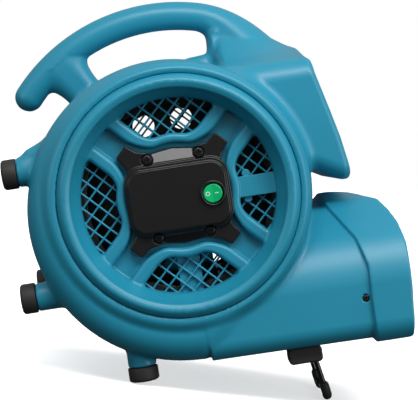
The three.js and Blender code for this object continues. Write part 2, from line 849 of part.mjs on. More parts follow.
/** Round rocker with a shallow valley across its face, tilted to its off side. */
function switchRocker() {
  const { axis, half } = ROCKER;
  const profile = new THREE.Shape([
    new THREE.Vector2(-half, -1),
    new THREE.Vector2(half, -1),
    new THREE.Vector2(half, 4.3),
    new THREE.Vector2(0, 3),
    new THREE.Vector2(-half, 4.3),
  ]);
  const depth = 2 * SWITCH_RADIUS;
  const wedge = new THREE.ExtrudeGeometry(profile, { depth, bevelEnabled: false });
  wedge.translate(0, axis, -SWITCH_RADIUS);
  const round = disc(SWITCH_RADIUS - 0.4, axis - 2, axis + 6);
  const level = geometryOf(solid(wedge).intersect(round));
  level.translate(0, -axis, 0);
  level.rotateZ(THREE.MathUtils.degToRad(ROCKER.tilt));
  level.translate(0, axis, 0);
  return solid(level);
}

placed("ion_switch_rocker", mirrored(switchRocker()), greenLens, SWITCH_SPOT.x, SWITCH_SPOT.z);
piece("ion_generator", block([-38, -122.5, -25], [14, -COVER_FLOOR - GAP, 20.5]), potting);

[-1, 1].forEach((side, i) => {
  const holder = join([
    disc(3.2, -FLOOR_BACK + 2.8, -FLOOR_BACK + 14, 0, 0, 12),
    disc(0.8, -FLOOR_BACK + 13, -FLOOR_BACK + 18, 0, 0, 6),
  ]);
  placed(`ion_emitter_${i + 1}`, holder, potting, side * 6, -70);
});

// ---- Blower wheel and motor -------------------------------------------------------------------

/** Double-inlet wheel: a perforated centre disc, straight blades and an end ring each side. */
function blowerWheel() {
  const ring = turned(
    [
      [WHEEL_RADIUS - BLADE_DEPTH, WHEEL_HALF - 4],
      [WHEEL_RADIUS, WHEEL_HALF - 4],
      [WHEEL_RADIUS, WHEEL_HALF],
      [WHEEL_RADIUS - BLADE_DEPTH, WHEEL_HALF],
    ],
    BLADE_COUNT
  );
  const blades = Array.from({ length: BLADE_COUNT }, (_, i) => {
    const blade = new THREE.BoxGeometry(BLADE_DEPTH - 3, 2 * WHEEL_HALF - 3, 1.6);
    blade.rotateY(THREE.MathUtils.degToRad(24));
    blade.translate(WHEEL_RADIUS - BLADE_DEPTH / 2 - 0.9, 0, 0);
    blade.rotateY((2 * Math.PI * (i + 0.5)) / BLADE_COUNT);
    return solid(blade);
  });
  const plate = disc(WHEEL_RADIUS - 1, -1.5, 1.5, 0, 0, BLADE_COUNT);
  const holes = WHEEL_HOLE.angles.map((angle) => {
    const spot = polar(WHEEL_HOLE.reach, angle);
    return disc(WHEEL_HOLE.radius, -5, 5, spot.x, spot.z, 10);
  });
  return cut(join([plate, ring, mirrored(ring), ...blades]), [...holes, disc(11.4, -5, 5)]);
}

piece("impeller", blowerWheel(), black);

const hubBore = disc(SHAFT + GAP, -30, 30);
const setScrewHole = post(2.3, 0, 20, 0, -7, 12);
piece(
  "impeller_hub",
  cut(
    turned(
      [
        [0, -13],
        [11, -13],
        [11, 1.9],
        [24, 1.9],
        [24, 5],
        [0, 5],
      ],
      24
    ),
    [hubBore, setScrewHole]
  ),
  steel
);
piece("hub_set_screw", post(2, SHAFT + GAP, 9.5, 0, -7, 12), darkSteel);
piece("motor_shaft", disc(SHAFT, -19, 102, 0, 0, 16), steel);

const BEARING = { inner: SHAFT + GAP, outer: 11, width: 7 };
const bearingNearY = MOTOR_FROM + 2 + GAP;
const bearingFarY = MOTOR_TO + 0.6;

/** Closed ring about the impeller axis. */
function ringAt(inner, outerRadius, fromY, toY, sides = 16) {
  return turned(
    [
      [inner, fromY],
      [outerRadius, fromY],
      [outerRadius, toY],
      [inner, toY],
    ],
    sides
  );
}

piece(
  "motor_can",
  turned(
    [
      [SHAFT + 1.5, MOTOR_FROM],
      [MOTOR_RADIUS - 5, MOTOR_FROM],
      [MOTOR_RADIUS, MOTOR_FROM + 5],
      [MOTOR_RADIUS, MOTOR_TO - GAP],
      [MOTOR_RADIUS - 2, MOTOR_TO - GAP],
      [MOTOR_RADIUS - 2, MOTOR_FROM + 6],
      [MOTOR_RADIUS - 6, MOTOR_FROM + 2],
      [BEARING.outer + 2.3, MOTOR_FROM + 2],
      [BEARING.outer + 2.3, MOTOR_FROM + 10],
      [BEARING.outer + GAP, MOTOR_FROM + 10],
      [BEARING.outer + GAP, MOTOR_FROM + 2],
      [SHAFT + 1.5, MOTOR_FROM + 2],
    ],
    16
  ),
  enamel
);
piece(
  "motor_end_bell",
  cut(
    turned(
      [
        [0, MOTOR_TO],
        [MOTOR_RADIUS, MOTOR_TO],
        [MOTOR_RADIUS, MOTOR_TO + 4],
        [MOTOR_RADIUS - 5, FLOOR_BACK - 0.6],
        [0, FLOOR_BACK - 0.6],
      ],
      36
    ),
    [
      disc(BEARING.outer + GAP, MOTOR_TO - 5, bearingFarY + BEARING.width + 0.6),
      ...motorBoltSpots.map(({ x, z }) => disc(2.6, MOTOR_TO + 0.8, 115, x, z, 8)),
    ]
  ),
  enamel
);
piece("motor_stator", ringAt(28, MOTOR_RADIUS - 2.6, 44, 80), enamel);
piece("motor_coil_near", ringAt(30, 43, 37, 44 - GAP), copper);
piece("motor_coil_far", ringAt(30, 43, 80 + GAP, 88), copper);
piece("motor_rotor", ringAt(SHAFT + GAP, 27, 43, 81), steel);
for (const [sideName, from, to] of [
  ["near", bearingNearY, bearingNearY + BEARING.width],
  ["far", bearingFarY, bearingFarY + BEARING.width - 1],
]) {
  piece(`motor_bearing_${sideName}`, ringAt(BEARING.inner, BEARING.outer, from, to), steel);
}
const motorBolt = panScrew(COVER_FLOOR + GAP, 4.4, 3, 2.2, 11);
motorBoltSpots.forEach(({ x, z }, i) => {
  placed(`motor_bolt_${i + 1}`, motorBolt, darkSteel, x, z);
});

// ---- Control panel ----------------------------------------------------------------------------

const PLATE_BACK = -PANEL_DEPTH + GAP;
const PLATE_FACE = PLATE_BACK + 2.5;
const KNOB = { y: -22, radius: 13 };
const BREAKER = { y: 18, z: 10, radius: 5.4 };
const GLAND = { y: 30, z: -14, radius: 7 };

piece(
  "control_panel",
  cut(
    block(
      [PLATE_BACK, GAP - PANEL_HALF.y, GAP - PANEL_HALF.z],
      [PLATE_FACE, PANEL_HALF.y - GAP, PANEL_HALF.z - GAP]
    ),
    [
      peg(3.6, -30, 10, KNOB.y, 0, 12),
      peg(BREAKER.radius + GAP, -30, 10, BREAKER.y, BREAKER.z, 16),
      peg(GLAND.radius + GAP, -30, 10, GLAND.y, GLAND.z, 16),
      ...panelScrewSpots.map(([y, z]) => peg(1.8, -30, 10, y, z, 8)),
    ]
  ),
  black,
  panelFrame
);

const pointer = block(
  [PLATE_FACE + 5, KNOB.y - 1, 2],
  [PLATE_FACE + 9.5, KNOB.y + 1, KNOB.radius - 1]
);
piece(
  "speed_knob",
  join([
    peg(KNOB.radius, PLATE_FACE + 0.5, PLATE_FACE + 3.5, KNOB.y, 0),
    peg(KNOB.radius - 3, PLATE_FACE + 3, PLATE_FACE + 8, KNOB.y, 0, 14).subtract(pointer),
    peg(3, PLATE_BACK - 1, PLATE_FACE + 1, KNOB.y, 0, 12),
  ]),
  black,
  panelFrame
);
piece(
  "speed_switch_body",
  block([PLATE_BACK - 20, KNOB.y - 13, -12], [PLATE_BACK - 1.4, KNOB.y + 13, 12]),
  potting,
  panelFrame
);
piece(
  "breaker_body",
  cut(
    join([
      block(
        [PLATE_BACK - 20, BREAKER.y - 7.5, BREAKER.z - 7.5],
        [PLATE_BACK - GAP, BREAKER.y + 7.5, BREAKER.z + 7.5]
      ),
      peg(BREAKER.radius, PLATE_BACK - 1, PLATE_FACE + 3, BREAKER.y, BREAKER.z, 16),
    ]),
    [peg(3.5, PLATE_BACK - 12, 10, BREAKER.y, BREAKER.z, 16)]
  ),
  potting,
  panelFrame
);
piece(
  "breaker_button",
  peg(3.1, PLATE_BACK - 6, PLATE_FACE + 5.6, BREAKER.y, BREAKER.z, 16),
  redPlastic,
  panelFrame
);
piece(
  "cord_gland",
  cut(
    join([
      peg(GLAND.radius, PLATE_BACK - 8, PLATE_FACE + 5.5, GLAND.y, GLAND.z, 12),
      peg(GLAND.radius + 3, PLATE_FACE + GAP, PLATE_FACE + 3, GLAND.y, GLAND.z, 12),
    ]),
    [peg(4, -40, 20, GLAND.y, GLAND.z, 8)]
  ),
  black,
  panelFrame
);

const panelScrew = geometryOf(panScrew(PLATE_FACE + GAP, 3.4, 2, 1.4, 9));
panelScrew.rotateZ(-Math.PI / 2);
panelScrewSpots.forEach(([y, z], i) => {
  const screw = new THREE.Mesh(panelScrew, darkSteel);
  screw.name = `panel_screw_${i + 1}`;
  screw.position.set(0, y, z);
  panelFrame.add(screw);
});

const capacitor = new THREE.CylinderGeometry(13, 13, 42, 16);
capacitor.translate(114, 45, 97);
piece("motor_capacitor", solid(capacitor), steel);

// ---- Outlet guard -----------------------------------------------------------------------------

/** Rectangular grid that fills the duct just behind the collar. */
function outletGuard() {
  const { from, to, bar: thin } = GUARD;
  const frame = alongX(ductSection(-WALL - GAP - 0.1), from, to).subtract(
    alongX(ductSection(-WALL - 5), from - 5, to + 5)
  );
  const bars = [];
  for (const y of [-80, -40, 0, 40, 80]) {
    bars.push(block([to - 8, y - thin, -170], [to - 1, y + thin, 0]));
  }
  for (const z of [-125, -90, -55]) {
    bars.push(block([to - 7, -130, z - thin], [to - 2, 130, z + thin]));
  }
  const grid = join(bars).intersect(alongX(ductSection(-WALL - 3), from, to));
  return cut(join([frame, grid]), [guardScrewHole, mirrored(guardScrewHole)]);
}

piece("outlet_guard", outletGuard(), black);
const guardScrew = panScrew(GUARD_SCREW_SEAT + GAP, GUARD_SCREW.head, 2, GUARD_SCREW.shank, 9);
placed("guard_screw_near", mirrored(guardScrew), darkSteel, GUARD_SCREW.x, GUARD_SCREW.z);
placed("guard_screw_far", guardScrew, darkSteel, GUARD_SCREW.x, GUARD_SCREW.z);

// ---- Feet and kickstand -----------------------------------------------------------------------

/** Rubber foot along y with a rounded sole at the far end, before it is turned to its place. */
function rubberFoot(length) {
  return turned(
    [
      [0, 0],
      [FOOT_RADIUS - 1.2, 0],
      [FOOT_RADIUS, 2],
      [FOOT_RADIUS, length - 2.5],
      [FOOT_RADIUS - 2.5, length],
      [0, length],
    ],
    16
  );
}

const baseFoot = geometryOf(rubberFoot(BASE_FOOT.top - BASE_FOOT.sole));
baseFoot.rotateX(-Math.PI / 2);
const backFoot = geometryOf(rubberFoot(BACK_FOOT_TOP - BACK_FOOT_FACE));
backFoot.rotateZ(Math.PI / 2);

for (const [sideName, side] of [["near", -1], ["far", 1]]) {
  const y = side * FOOT_Y;
  const foot = new THREE.Mesh(baseFoot, rubber);
  foot.name = `base_foot_${sideName}`;
  foot.position.set(BASE_FOOT.x, y, BASE_FOOT.top);
  machine.add(foot);
  for (const [level, z] of Object.entries(BACK_FOOT_Z)) {
    const bumper = new THREE.Mesh(backFoot, rubber);
    bumper.name = `back_foot_${level}_${sideName}`;
    bumper.position.set(BACK_FOOT_TOP, y, z);
    machine.add(bumper);
  }
  const bracketSide = outline([
    [BRACKET.from, BRACKET.bottom, 5],
    [BRACKET.to, BRACKET.bottom, 5],
    [BRACKET.to, UNDERSIDE - GAP, 0],
    [BRACKET.from, UNDERSIDE - GAP, 0],
  ]);
  const bracket = sidePlate(bracketSide, BRACKET.inner, BRACKET.outer, 1.5).subtract(
    disc(STAND_WIRE + 0.35, BRACKET.inner - 5, BRACKET.inner + 17, STAND_PIVOT.x, STAND_PIVOT.z, 12)
  );
  piece(`stand_bracket_${sideName}`, side < 0 ? mirrored(bracket) : bracket, rubber);
}

/** Points along straight runs joined by round bends of one radius. */
function bentPath(corners, radius, steps) {
  const points = [corners[0]];
  for (let i = 1; i < corners.length - 1; i++) {
    const at = corners[i];
    const start = at.clone().addScaledVector(corners[i - 1].clone().sub(at).normalize(), radius);
    const end = at.clone().addScaledVector(corners[i + 1].clone().sub(at).normalize(), radius);
    points.push(...new THREE.QuadraticBezierCurve3(start, at, end).getPoints(steps));
  }
  points.push(corners[corners.length - 1]);
  return points;
}

const pivotAt = (y) => new THREE.Vector3(STAND_PIVOT.x, y, STAND_PIVOT.z);
const bendAt = (y) => new THREE.Vector3(STAND_BEND.x, y, STAND_BEND.z);
const WIRE_END = BRACKET.inner + 15;
const wirePath = bentPath(
  [
    pivotAt(-WIRE_END),
    pivotAt(-STAND_HALF),
    bendAt(-STAND_HALF),
    bendAt(STAND_HALF),
    pivotAt(STAND_HALF),
    pivotAt(WIRE_END),
  ],
  9,
  3
);
piece("kickstand_wire", bar(wirePath, STAND_WIRE, 8), steel);

for (const [sideName, side] of [["near", -1], ["far", 1]]) {
  const up = pivotAt(side * STAND_HALF).sub(bendAt(side * STAND_HALF)).normalize();
  const legEnd = bendAt(side * STAND_HALF).addScaledVector(up, 16);
  const barEnd = bendAt(side * (STAND_HALF - 16));
  const path = bentPath([legEnd, bendAt(side * STAND_HALF), barEnd], 9, 3);
  const core = [
    legEnd.clone().addScaledVector(up, 5),
    ...path.slice(1, -1),
    bendAt(side * (STAND_HALF - 21)),
  ];
  const boot = bar(path, STAND_BOOT, 8).subtract(bar(core, STAND_WIRE + 2 * GAP, 8));
  piece(`kickstand_boot_${sideName}`, boot, rubber);
}

// ---- Stand the machine on the floor, centred on its footprint -----------------------------------

const stood = new THREE.Group();
stood.add(machine);
stood.updateMatrixWorld(true);
const extent = new THREE.Box3().setFromObject(machine, true);
const middle = extent.getCenter(new THREE.Vector3());
machine.position.set(-middle.x, -middle.y, -extent.min.z);

export default stood;
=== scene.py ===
"""Looks of a compact centrifugal air mover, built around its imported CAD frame.

The moulded parts are drawn as distance fields: a field takes coordinates in the machine's own
frame (millimetres, x towards the outlet, y along the impeller axis, z square to the underside)
and is negative inside the part. surface() turns a field into a smooth closed mesh.
"""

import itertools
import json
import math

import bpy
import numpy as np
from mathutils import Matrix, Vector


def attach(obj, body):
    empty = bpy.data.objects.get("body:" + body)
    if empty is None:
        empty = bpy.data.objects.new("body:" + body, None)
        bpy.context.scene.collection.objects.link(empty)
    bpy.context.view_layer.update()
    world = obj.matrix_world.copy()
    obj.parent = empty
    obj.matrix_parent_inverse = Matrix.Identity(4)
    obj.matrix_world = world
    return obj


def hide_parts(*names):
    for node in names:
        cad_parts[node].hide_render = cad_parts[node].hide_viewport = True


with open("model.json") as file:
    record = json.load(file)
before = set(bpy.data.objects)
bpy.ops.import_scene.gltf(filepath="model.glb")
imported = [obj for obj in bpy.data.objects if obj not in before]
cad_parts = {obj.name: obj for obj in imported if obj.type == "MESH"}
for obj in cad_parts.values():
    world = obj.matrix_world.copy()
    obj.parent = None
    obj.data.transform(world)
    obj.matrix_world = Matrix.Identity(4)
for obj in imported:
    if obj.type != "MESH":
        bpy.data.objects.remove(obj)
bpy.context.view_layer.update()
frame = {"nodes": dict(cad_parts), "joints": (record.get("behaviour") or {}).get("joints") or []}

# ---- The machine's own frame --------------------------------------------------------------------

joints = {joint["name"]: joint for joint in frame["joints"]}
AXLE = np.array(joints["blower_spin"]["pos_m"]) * 1000
UP = np.array(joints["ion_rocker_tilt"]["axis"])
AHEAD = np.array([UP[2], 0, -UP[0]])
AXES = np.array([AHEAD, [0, 1, 0], UP])
NEAR = -1
FAR = 1
SIDES = (("near", NEAR), ("far", FAR))


def to_row(points):
    """Points of the machine's frame, in mm, as points of the row frame in metres."""
    return (AXLE + np.asarray(points, float) @ AXES) / 1000


# ---- Driving dimensions, in mm ------------------------------------------------------------------

WALL = 4
SIDE = 131
EDGE = 25
DRAFT = 2
SCROLL_ANGLES = (59, 105, 150, 190, 240, 270)
SCROLL_RADII = (127, 132, 139, 148.5, 157.5, 159.5)

UNDERSIDE = -160
DUCT_START = 8
DUCT_END = 166
DUCT_HALF = 128
DUCT_CORNER = 18
DUCT_SHOULDER = -81
SHOULDER_ROUND = 22
RIDGE_Y = 70
RIDGE_Z = -34.5
CROWN = -27
UNDERSIDE_SLOPE = 0.0105
LEVEL_X = 40
COLLAR_STEP = 4.6
COLLAR_WALL = 5.4

SEAT_RADIUS = 113.9
BORE_RADIUS = 104
SEAT_FACE = 124
BOSS_RADIUS = 124.2
BOSS_CREST = 137.3
BOSS_BACK = 100

COVER_CREST = 139.9
COVER_FLOOR = 108.3
COVER_BACK = 105.3
WINDOW_RADIUS = 92
WINDOW_INNER = 57.5
WINDOW_WAVE = 1.6
WINDOW_WEB = 24
RIM_WEB = 13.5
RIM_HUB = 9.5
RIM_CREST = 118
LATTICE_PITCH = 10.9
LATTICE_BAR = 1.9

HUB_PLATE = 118
HUB_STEP = 121.5
HUB_PANEL = 126
HUB_SCREW = (24.5, 37)
SWITCH = (32.2, -2.6)

HANDLE_RADIUS = 177.4
HANDLE_TUBE = 14.2
HANDLE_TIP = 138.8
STRUT_ANGLE = 124.2
STRUT_HALF = (17, 12.5)
NECK_ROOT_HALF = 19

CONSOLE_HALF = 104
ROOF_EAVES = 110
PANEL_SPOT = (154.2, 66)
PANEL_LEAN = math.radians(12.3)

FOOT_RADIUS = 14.4
FOOT_Y = 95
PEDESTAL_RADIUS = 13.4
BACK_FOOT_TOP = -148
BACK_FOOT_Z = {"upper": 43, "lower": -76.3}
BASE_FOOT = (-58.5, -156.7)

GUARD_SCREW = (159, -121.5)
POCKET_HALF = (56, 31)
ROOM_HALF = (50, 25)

# ---- Distance-field tools -----------------------------------------------------------------------


def meet(a, b, radius):
    """Both fields at once, their common edge rounded."""
    corner = np.hypot(np.maximum(a + radius, 0), np.maximum(b + radius, 0))
    return np.minimum(-radius, np.maximum(a, b)) + corner


def merge(a, b, radius):
    """Either field, with a fillet where they meet."""
    corner = np.hypot(np.maximum(radius - a, 0), np.maximum(radius - b, 0))
    return np.maximum(radius, np.minimum(a, b)) - corner


def rounded(corners, steps=6):
    """Closed outline whose corners, each (x, z, radius), are eased by a curve."""
    points = []
    for i, (x, z, radius) in enumerate(corners):
        at = np.array([x, z], float)
        back = np.array(corners[i - 1][:2]) - at
        ahead = np.array(corners[(i + 1) % len(corners)][:2]) - at
        back /= np.linalg.norm(back)
        ahead /= np.linalg.norm(ahead)
        reach = radius / math.tan(math.acos(np.clip(back @ ahead, -1, 1)) / 2)
        for t in np.linspace(0, 1, steps if radius else 1):
            points.append(at + back * reach * (1 - t) ** 2 + ahead * reach * t**2)
    return points


def outline(points):
    """Distance field of a closed outline in a plane."""
    sides = list(zip(points, np.roll(points, -1, axis=0)))

    def field(x, z):
        best = np.full(np.broadcast(x, z).shape, np.inf)
        inside = np.zeros(best.shape, bool)
        for (ax, az), (bx, bz) in sides:
            along_x, along_z = bx - ax, bz - az
            length = along_x**2 + along_z**2
            if length < 1e-9:
                continue
            t = np.clip(((x - ax) * along_x + (z - az) * along_z) / length, 0, 1)
            best = np.minimum(best, (x - ax - t * along_x) ** 2 + (z - az - t * along_z) ** 2)
            if along_z:
                crosses = (az <= z) != (bz <= z)
                inside ^= crosses & (x < ax + (z - az) * along_x / along_z)
        return np.where(inside, -1, 1) * np.sqrt(best)

    return field


def rod(radial, along, radius, start, end, edge=1.5):
    """Round bar: radial is the distance from its axis, along the place on it."""
    return meet(radial - radius, np.maximum(start - along, along - end), edge)


def lattice_points(low, high, cell):
    """Grid lines that enclose a box, as three broadcastable arrays."""
    axes = [np.arange(a - 1.4 * cell, b + 2.4 * cell, cell) for a, b in zip(low, high)]
    return axes, (axes[0][:, None, None], axes[1][None, :, None], axes[2][None, None, :])


CORNERS = np.array(list(itertools.product((0, 1), repeat=3)))
GRADIENT_STEP = 0.12


def slope(field, points):
    """Gradient of a field at points."""
    parts = []
    for axis in range(3):
        shift = np.zeros(3)
        shift[axis] = GRADIENT_STEP
        ahead = field(*(points + shift).T)
        behind = field(*(points - shift).T)
        parts.append((ahead - behind) / (2 * GRADIENT_STEP))
    return np.stack(parts, 1)


def contour(field, low, high, cell):
    """Vertices, quads and normals of a field's surface inside a box."""
    axes, grid = lattice_points(low, high, cell)
    value = field(*grid)
    inside = value < 0
    shape = np.array(value.shape) - 1
    filled = np.zeros(shape, np.int8)
    for i, j, k in CORNERS:
        filled += inside[i : i + shape[0], j : j + shape[1], k : k + shape[2]]
    cells = np.argwhere((filled > 0) & (filled < 8))
    number = np.full(shape, -1)
    number[tuple(cells.T)] = np.arange(len(cells))
    at_corner = np.stack([value[tuple((cells + corner).T)] for corner in CORNERS], 1)
    total = np.zeros((len(cells), 3))
    hits = np.zeros((len(cells), 1))
    for a, b in itertools.combinations(range(8), 2):
        if np.abs(CORNERS[a] - CORNERS[b]).sum() != 1:
            continue
        start, end = at_corner[:, a], at_corner[:, b]
        crosses = (start < 0) != (end < 0)
        t = np.where(crosses, start / np.where(crosses, start - end, 1), 0)
        spot = CORNERS[a] + t[:, None] * (CORNERS[b] - CORNERS[a])
        total += np.where(crosses[:, None], spot, 0)
        hits += crosses[:, None]
    origin = np.array([axis[0] for axis in axes])
    points = origin + (cells + total / hits) * cell
    for _ in range(3):
        steepness = slope(field, points)
        square = np.maximum((steepness**2).sum(1), 0.2)
        move = -field(*points.T)[:, None] * steepness / square[:, None]
        points += np.clip(move, -0.6 * cell, 0.6 * cell)
    normals = slope(field, points)
    normals /= np.maximum(np.linalg.norm(normals, axis=1, keepdims=True), 1e-6)

    quads = []
    for axis in range(3):
        p, q = np.eye(3, dtype=int)[[(axis + 1) % 3, (axis + 2) % 3]]
        low_side = np.delete(inside, -1, axis)
        high_side = np.delete(inside, 0, axis)
        edges = np.argwhere(low_side != high_side)
        across = [(axis + 1) % 3, (axis + 2) % 3]
        keep = np.all((edges[:, across] > 0) & (edges[:, across] < shape[across]), axis=1)
        edges = edges[keep]
        ring = np.stack([number[tuple((edges - s).T)] for s in (p + q, q, 0 * p, p)], 1)
        outward = low_side[tuple(edges.T)]
        ring[~outward] = ring[~outward][:, ::-1]
        quads.append(ring)
    return points, np.concatenate(quads), normals


def new_mesh(name, points, faces, normals=None, smooth=True):
    """Mesh object in the row frame, from points of the machine's frame."""
    mesh = bpy.data.meshes.new(name)
    faces = np.asarray(faces)
    points = to_row(points)
    mesh.vertices.add(len(points))
    mesh.vertices.foreach_set("co", points.ravel())
    width = faces.shape[1]
    mesh.loops.add(faces.size)
    mesh.loops.foreach_set("vertex_index", faces.ravel())
    mesh.polygons.add(len(faces))
    mesh.polygons.foreach_set("loop_start", np.arange(len(faces)) * width)
    mesh.update(calc_edges=True)
    mesh.polygons.foreach_set("use_smooth", np.full(len(faces), smooth))
    if normals is not None:
        mesh.normals_split_custom_set_from_vertices(normals @ AXES)
    piece = bpy.data.objects.new(name, mesh)
    bpy.context.scene.collection.objects.link(piece)
    return piece


def dress(piece, material, slot, body, *nodes):
    """Gives a piece its material, the body it rides on and the CAD nodes it stands for."""
    piece.data.materials.append(material)
    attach(piece, body)
    if nodes:
        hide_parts(*nodes)
    return piece


def surface(name, field, low, high, cell, side=FAR):
    """Piece from a field of the far side; the near side is its mirror image."""
    points, quads, normals = contour(field, low, high, cell)
    return sided(name, points, quads, normals, side)


def sided(name, points, faces, normals, side):
    """Piece on the far side as drawn, or mirrored to the near side."""
    if side == NEAR:
        mirror = np.array([1, -1, 1])
        return new_mesh(name, points * mirror, faces[:, ::-1], normals * mirror)
    return new_mesh(name, points, faces, normals)


# ---- Materials ----------------------------------------------------------------------------------


def plastic(name, color, roughness, grain=0.0, grain_scale=900.0, tint=0.06, **settings):
    """Moulded plastic or rubber: slightly uneven colour and gloss, and a fine surface grain."""
    material = bpy.data.materials.new(name)
    material.use_nodes = True
    nodes, links = material.node_tree.nodes, material.node_tree.links
    shader = nodes["Principled BSDF"]
    for socket, value in settings.items():
        shader.inputs[socket.replace("_", " ")].default_value = value
    place = nodes.new("ShaderNodeTexCoord")
    clouds = nodes.new("ShaderNodeTexNoise")
    clouds.inputs["Scale"].default_value = 14
    clouds.inputs["Detail"].default_value = 3
    links.new(place.outputs["Object"], clouds.inputs["Vector"])
    colors = nodes.new("ShaderNodeMix")
    colors.data_type = "RGBA"
    colors.inputs["A"].default_value = [c * (1 - tint) for c in color] + [1]
    colors.inputs["B"].default_value = [c * (1 + tint) for c in color] + [1]
    links.new(clouds.outputs["Fac"], colors.inputs["Factor"])
    links.new(colors.outputs["Result"], shader.inputs["Base Color"])
    gloss = nodes.new("ShaderNodeMapRange")
    gloss.inputs["To Min"].default_value = roughness * 0.9
    gloss.inputs["To Max"].default_value = roughness * 1.1
    links.new(clouds.outputs["Fac"], gloss.inputs["Value"])
    links.new(gloss.outputs["Result"], shader.inputs["Roughness"])
    if grain:
        fine = nodes.new("ShaderNodeTexNoise")
        fine.inputs["Scale"].default_value = grain_scale
        fine.inputs["Detail"].default_value = 2
        bump = nodes.new("ShaderNodeBump")
        bump.inputs["Strength"].default_value = grain
        bump.inputs["Distance"].default_value = 0.0004
        links.new(place.outputs["Object"], fine.inputs["Vector"])
        links.new(fine.outputs["Fac"], bump.inputs["Height"])
        links.new(bump.outputs["Normal"], shader.inputs["Normal"])
    return material


def metal(name, color, roughness, metallic=1.0):
    """Plated, blackened or enamelled metal with a faint fine grain."""
    return plastic(name, color, roughness, 0.12, 1200.0, 0.1, Metallic=metallic)


TEAL = plastic("teal_polyethylene", (0.016, 0.265, 0.400), 0.38, 0.05, 700, 0.05)
BLACK = plastic("satin_black_abs", (0.008, 0.008, 0.0085), 0.27, 0.05, 1500, 0.12)
RUBBER = plastic("black_rubber", (0.020, 0.019, 0.018), 0.62, 0.35, 1300, 0.2)
LENS = plastic("green_lens", (0.0, 0.50, 0.165), 0.16, 0.0, 1, 0.03, Coat_Weight=0.2)
MARKS = plastic("pale_marks", (0.72, 0.85, 0.76), 0.4)
STEEL = metal("plated_steel", (0.60, 0.61, 0.62), 0.3)
DARK_STEEL = metal("blackened_steel", (0.022, 0.022, 0.024), 0.32, 0.6)
STAND_STEEL = metal("stand_wire_steel", (0.045, 0.045, 0.047), 0.22, 0.8)
ENAMEL = metal("motor_enamel", (0.04, 0.045, 0.05), 0.45, 0.3)
COPPER = metal("copper_wire", (0.55, 0.22, 0.10), 0.35)
POTTING = plastic("potting_black", (0.016, 0.017, 0.019), 0.55, 0.2, 800, 0.1)
RED = plastic("red_button", (0.42, 0.02, 0.012), 0.3, 0.05, 900, 0.05)

# ---- Housing ------------------------------------------------------------------------------------


def round_place(x, z):
    """Distance from the impeller axis and the angle about it, from -90 to 270 degrees."""
    degrees = np.degrees(np.arctan2(z, x))
    return np.hypot(x, z), np.where(degrees < -90, degrees + 360, degrees)


def scroll_radius(degrees):
    """Outer radius of the volute; the part below 0 degrees hides inside the duct."""
    shifts = np.linspace(-14, 14, 8)
    radius = sum(np.interp(degrees + s, SCROLL_ANGLES, SCROLL_RADII) for s in shifts) / 8
    end = SCROLL_RADII[-1]
    t = np.clip((degrees + 90) / 28, 0, 1)
    return end + (radius - end) * t * t * (3 - 2 * t)


def drum(x, y, z, inset=0.0):
    """Volute between its side walls."""
    r, degrees = round_place(x, z)
    rim = r - scroll_radius(degrees) + DRAFT * np.abs(y) / (SIDE - EDGE) + inset
    return meet(rim, np.abs(y) - SIDE + inset, EDGE - inset)


def duct_section(y, z, grow, sink=0):
    """Cross-section of the outlet duct, with sloping upper facets and an arched top.

    grow moves the walls outwards and sink lowers the underside.
    """
    half = DUCT_HALF + grow
    run, rise = half - RIDGE_Y - 0.35 * grow, RIDGE_Z - DUCT_SHOULDER + 0.6 * grow
    facet = (rise * (np.abs(y) - half) + run * (z - DUCT_SHOULDER)) / math.hypot(run, rise)
    drop = CROWN - RIDGE_Z
    crown = (drop * np.abs(y) + RIDGE_Y * (z - CROWN - grow)) / math.hypot(drop, RIDGE_Y)
    top = meet(facet, crown, 1.5)
    side = meet(np.abs(y) - half, top, SHOULDER_ROUND)
    return meet(side, UNDERSIDE - sink - grow - z, DUCT_CORNER + grow)


COLLAR_SIDE = outline(
    rounded(
        [
            (163.5, -168, 0),
            (163.5, -122, 20),
            (165, -92, 20),
            (159, -66, 14),
            (139, -32, 8),
            (137, -17, 0),
            (150, -21.5, 8),
            (173, -27.3, 10),
            (189.5, -33.5, 6),
            (197, -44.5, 8),
            (202, -56, 10),
            (204.8, -75, 15),
            (203.6, -113, 40),
            (199.3, -166.5, 5),
        ]
    )
)

CONSOLE_FRONT = outline(
    rounded(
        [
            (60, 165, 0),
            (92, 152, 0),
            (118, 142, 0),
            (142, 128, 9),
            (145.4, 95, 40),
            (154, 59.6, 0),
            (160.4, 31.4, 40),
            (170.2, -30, 0),
            (60, -30, 0),
        ]
    )
)

ROOF_X = (100, 112, 121, 129.5, 139, 150)
ROOF_RIDGE = (143, 140, 136.8, 130.6, 126.4, 122)


def console(x, y, z):
    """Control console in front of the volute, under a roof that falls to both sides."""
    ridge = sum(np.interp(x + shift, ROOF_X, ROOF_RIDGE) for shift in (-3, -1, 1, 3)) / 4
    share = np.abs(y) / CONSOLE_HALF
    roof = ROOF_EAVES + (ridge - ROOF_EAVES) * np.maximum(1 - share, 0) ** 1.35
    top = (z - roof) * 0.9
    under_back = -0.489 * (x - 131) - 0.872 * (z - 4.5)
    under_front = 0.447 * (x - 166.9) - 0.894 * (z + 7)
    walls = meet(np.abs(y) - CONSOLE_HALF, top, 17)
    walls = meet(walls, meet(under_back, under_front, 5), 15)
    return meet(walls, CONSOLE_FRONT(x, z), 5.5)


NECK_START = 40
NECK_ANGLES = [38, 46, 52, 59, 65, 71, 140]
NECK_OUTER = [172, 177.5, 182.2, 186.6, 189.4, 191.6, 191.6]
NECK_INNER = [100, 108, 112, 118, 141, 163.2, 163.2]
NECK_HALF = [56, 47, 38, 27, 18.5, 14.2, 14.2]


def eased(degrees, values):
    """Smooth curve through values given at the neck's angles."""
    spread = (-4, -2.4, -0.8, 0.8, 2.4, 4)
    return sum(np.interp(degrees + shift, NECK_ANGLES, values) for shift in spread) / len(spread)


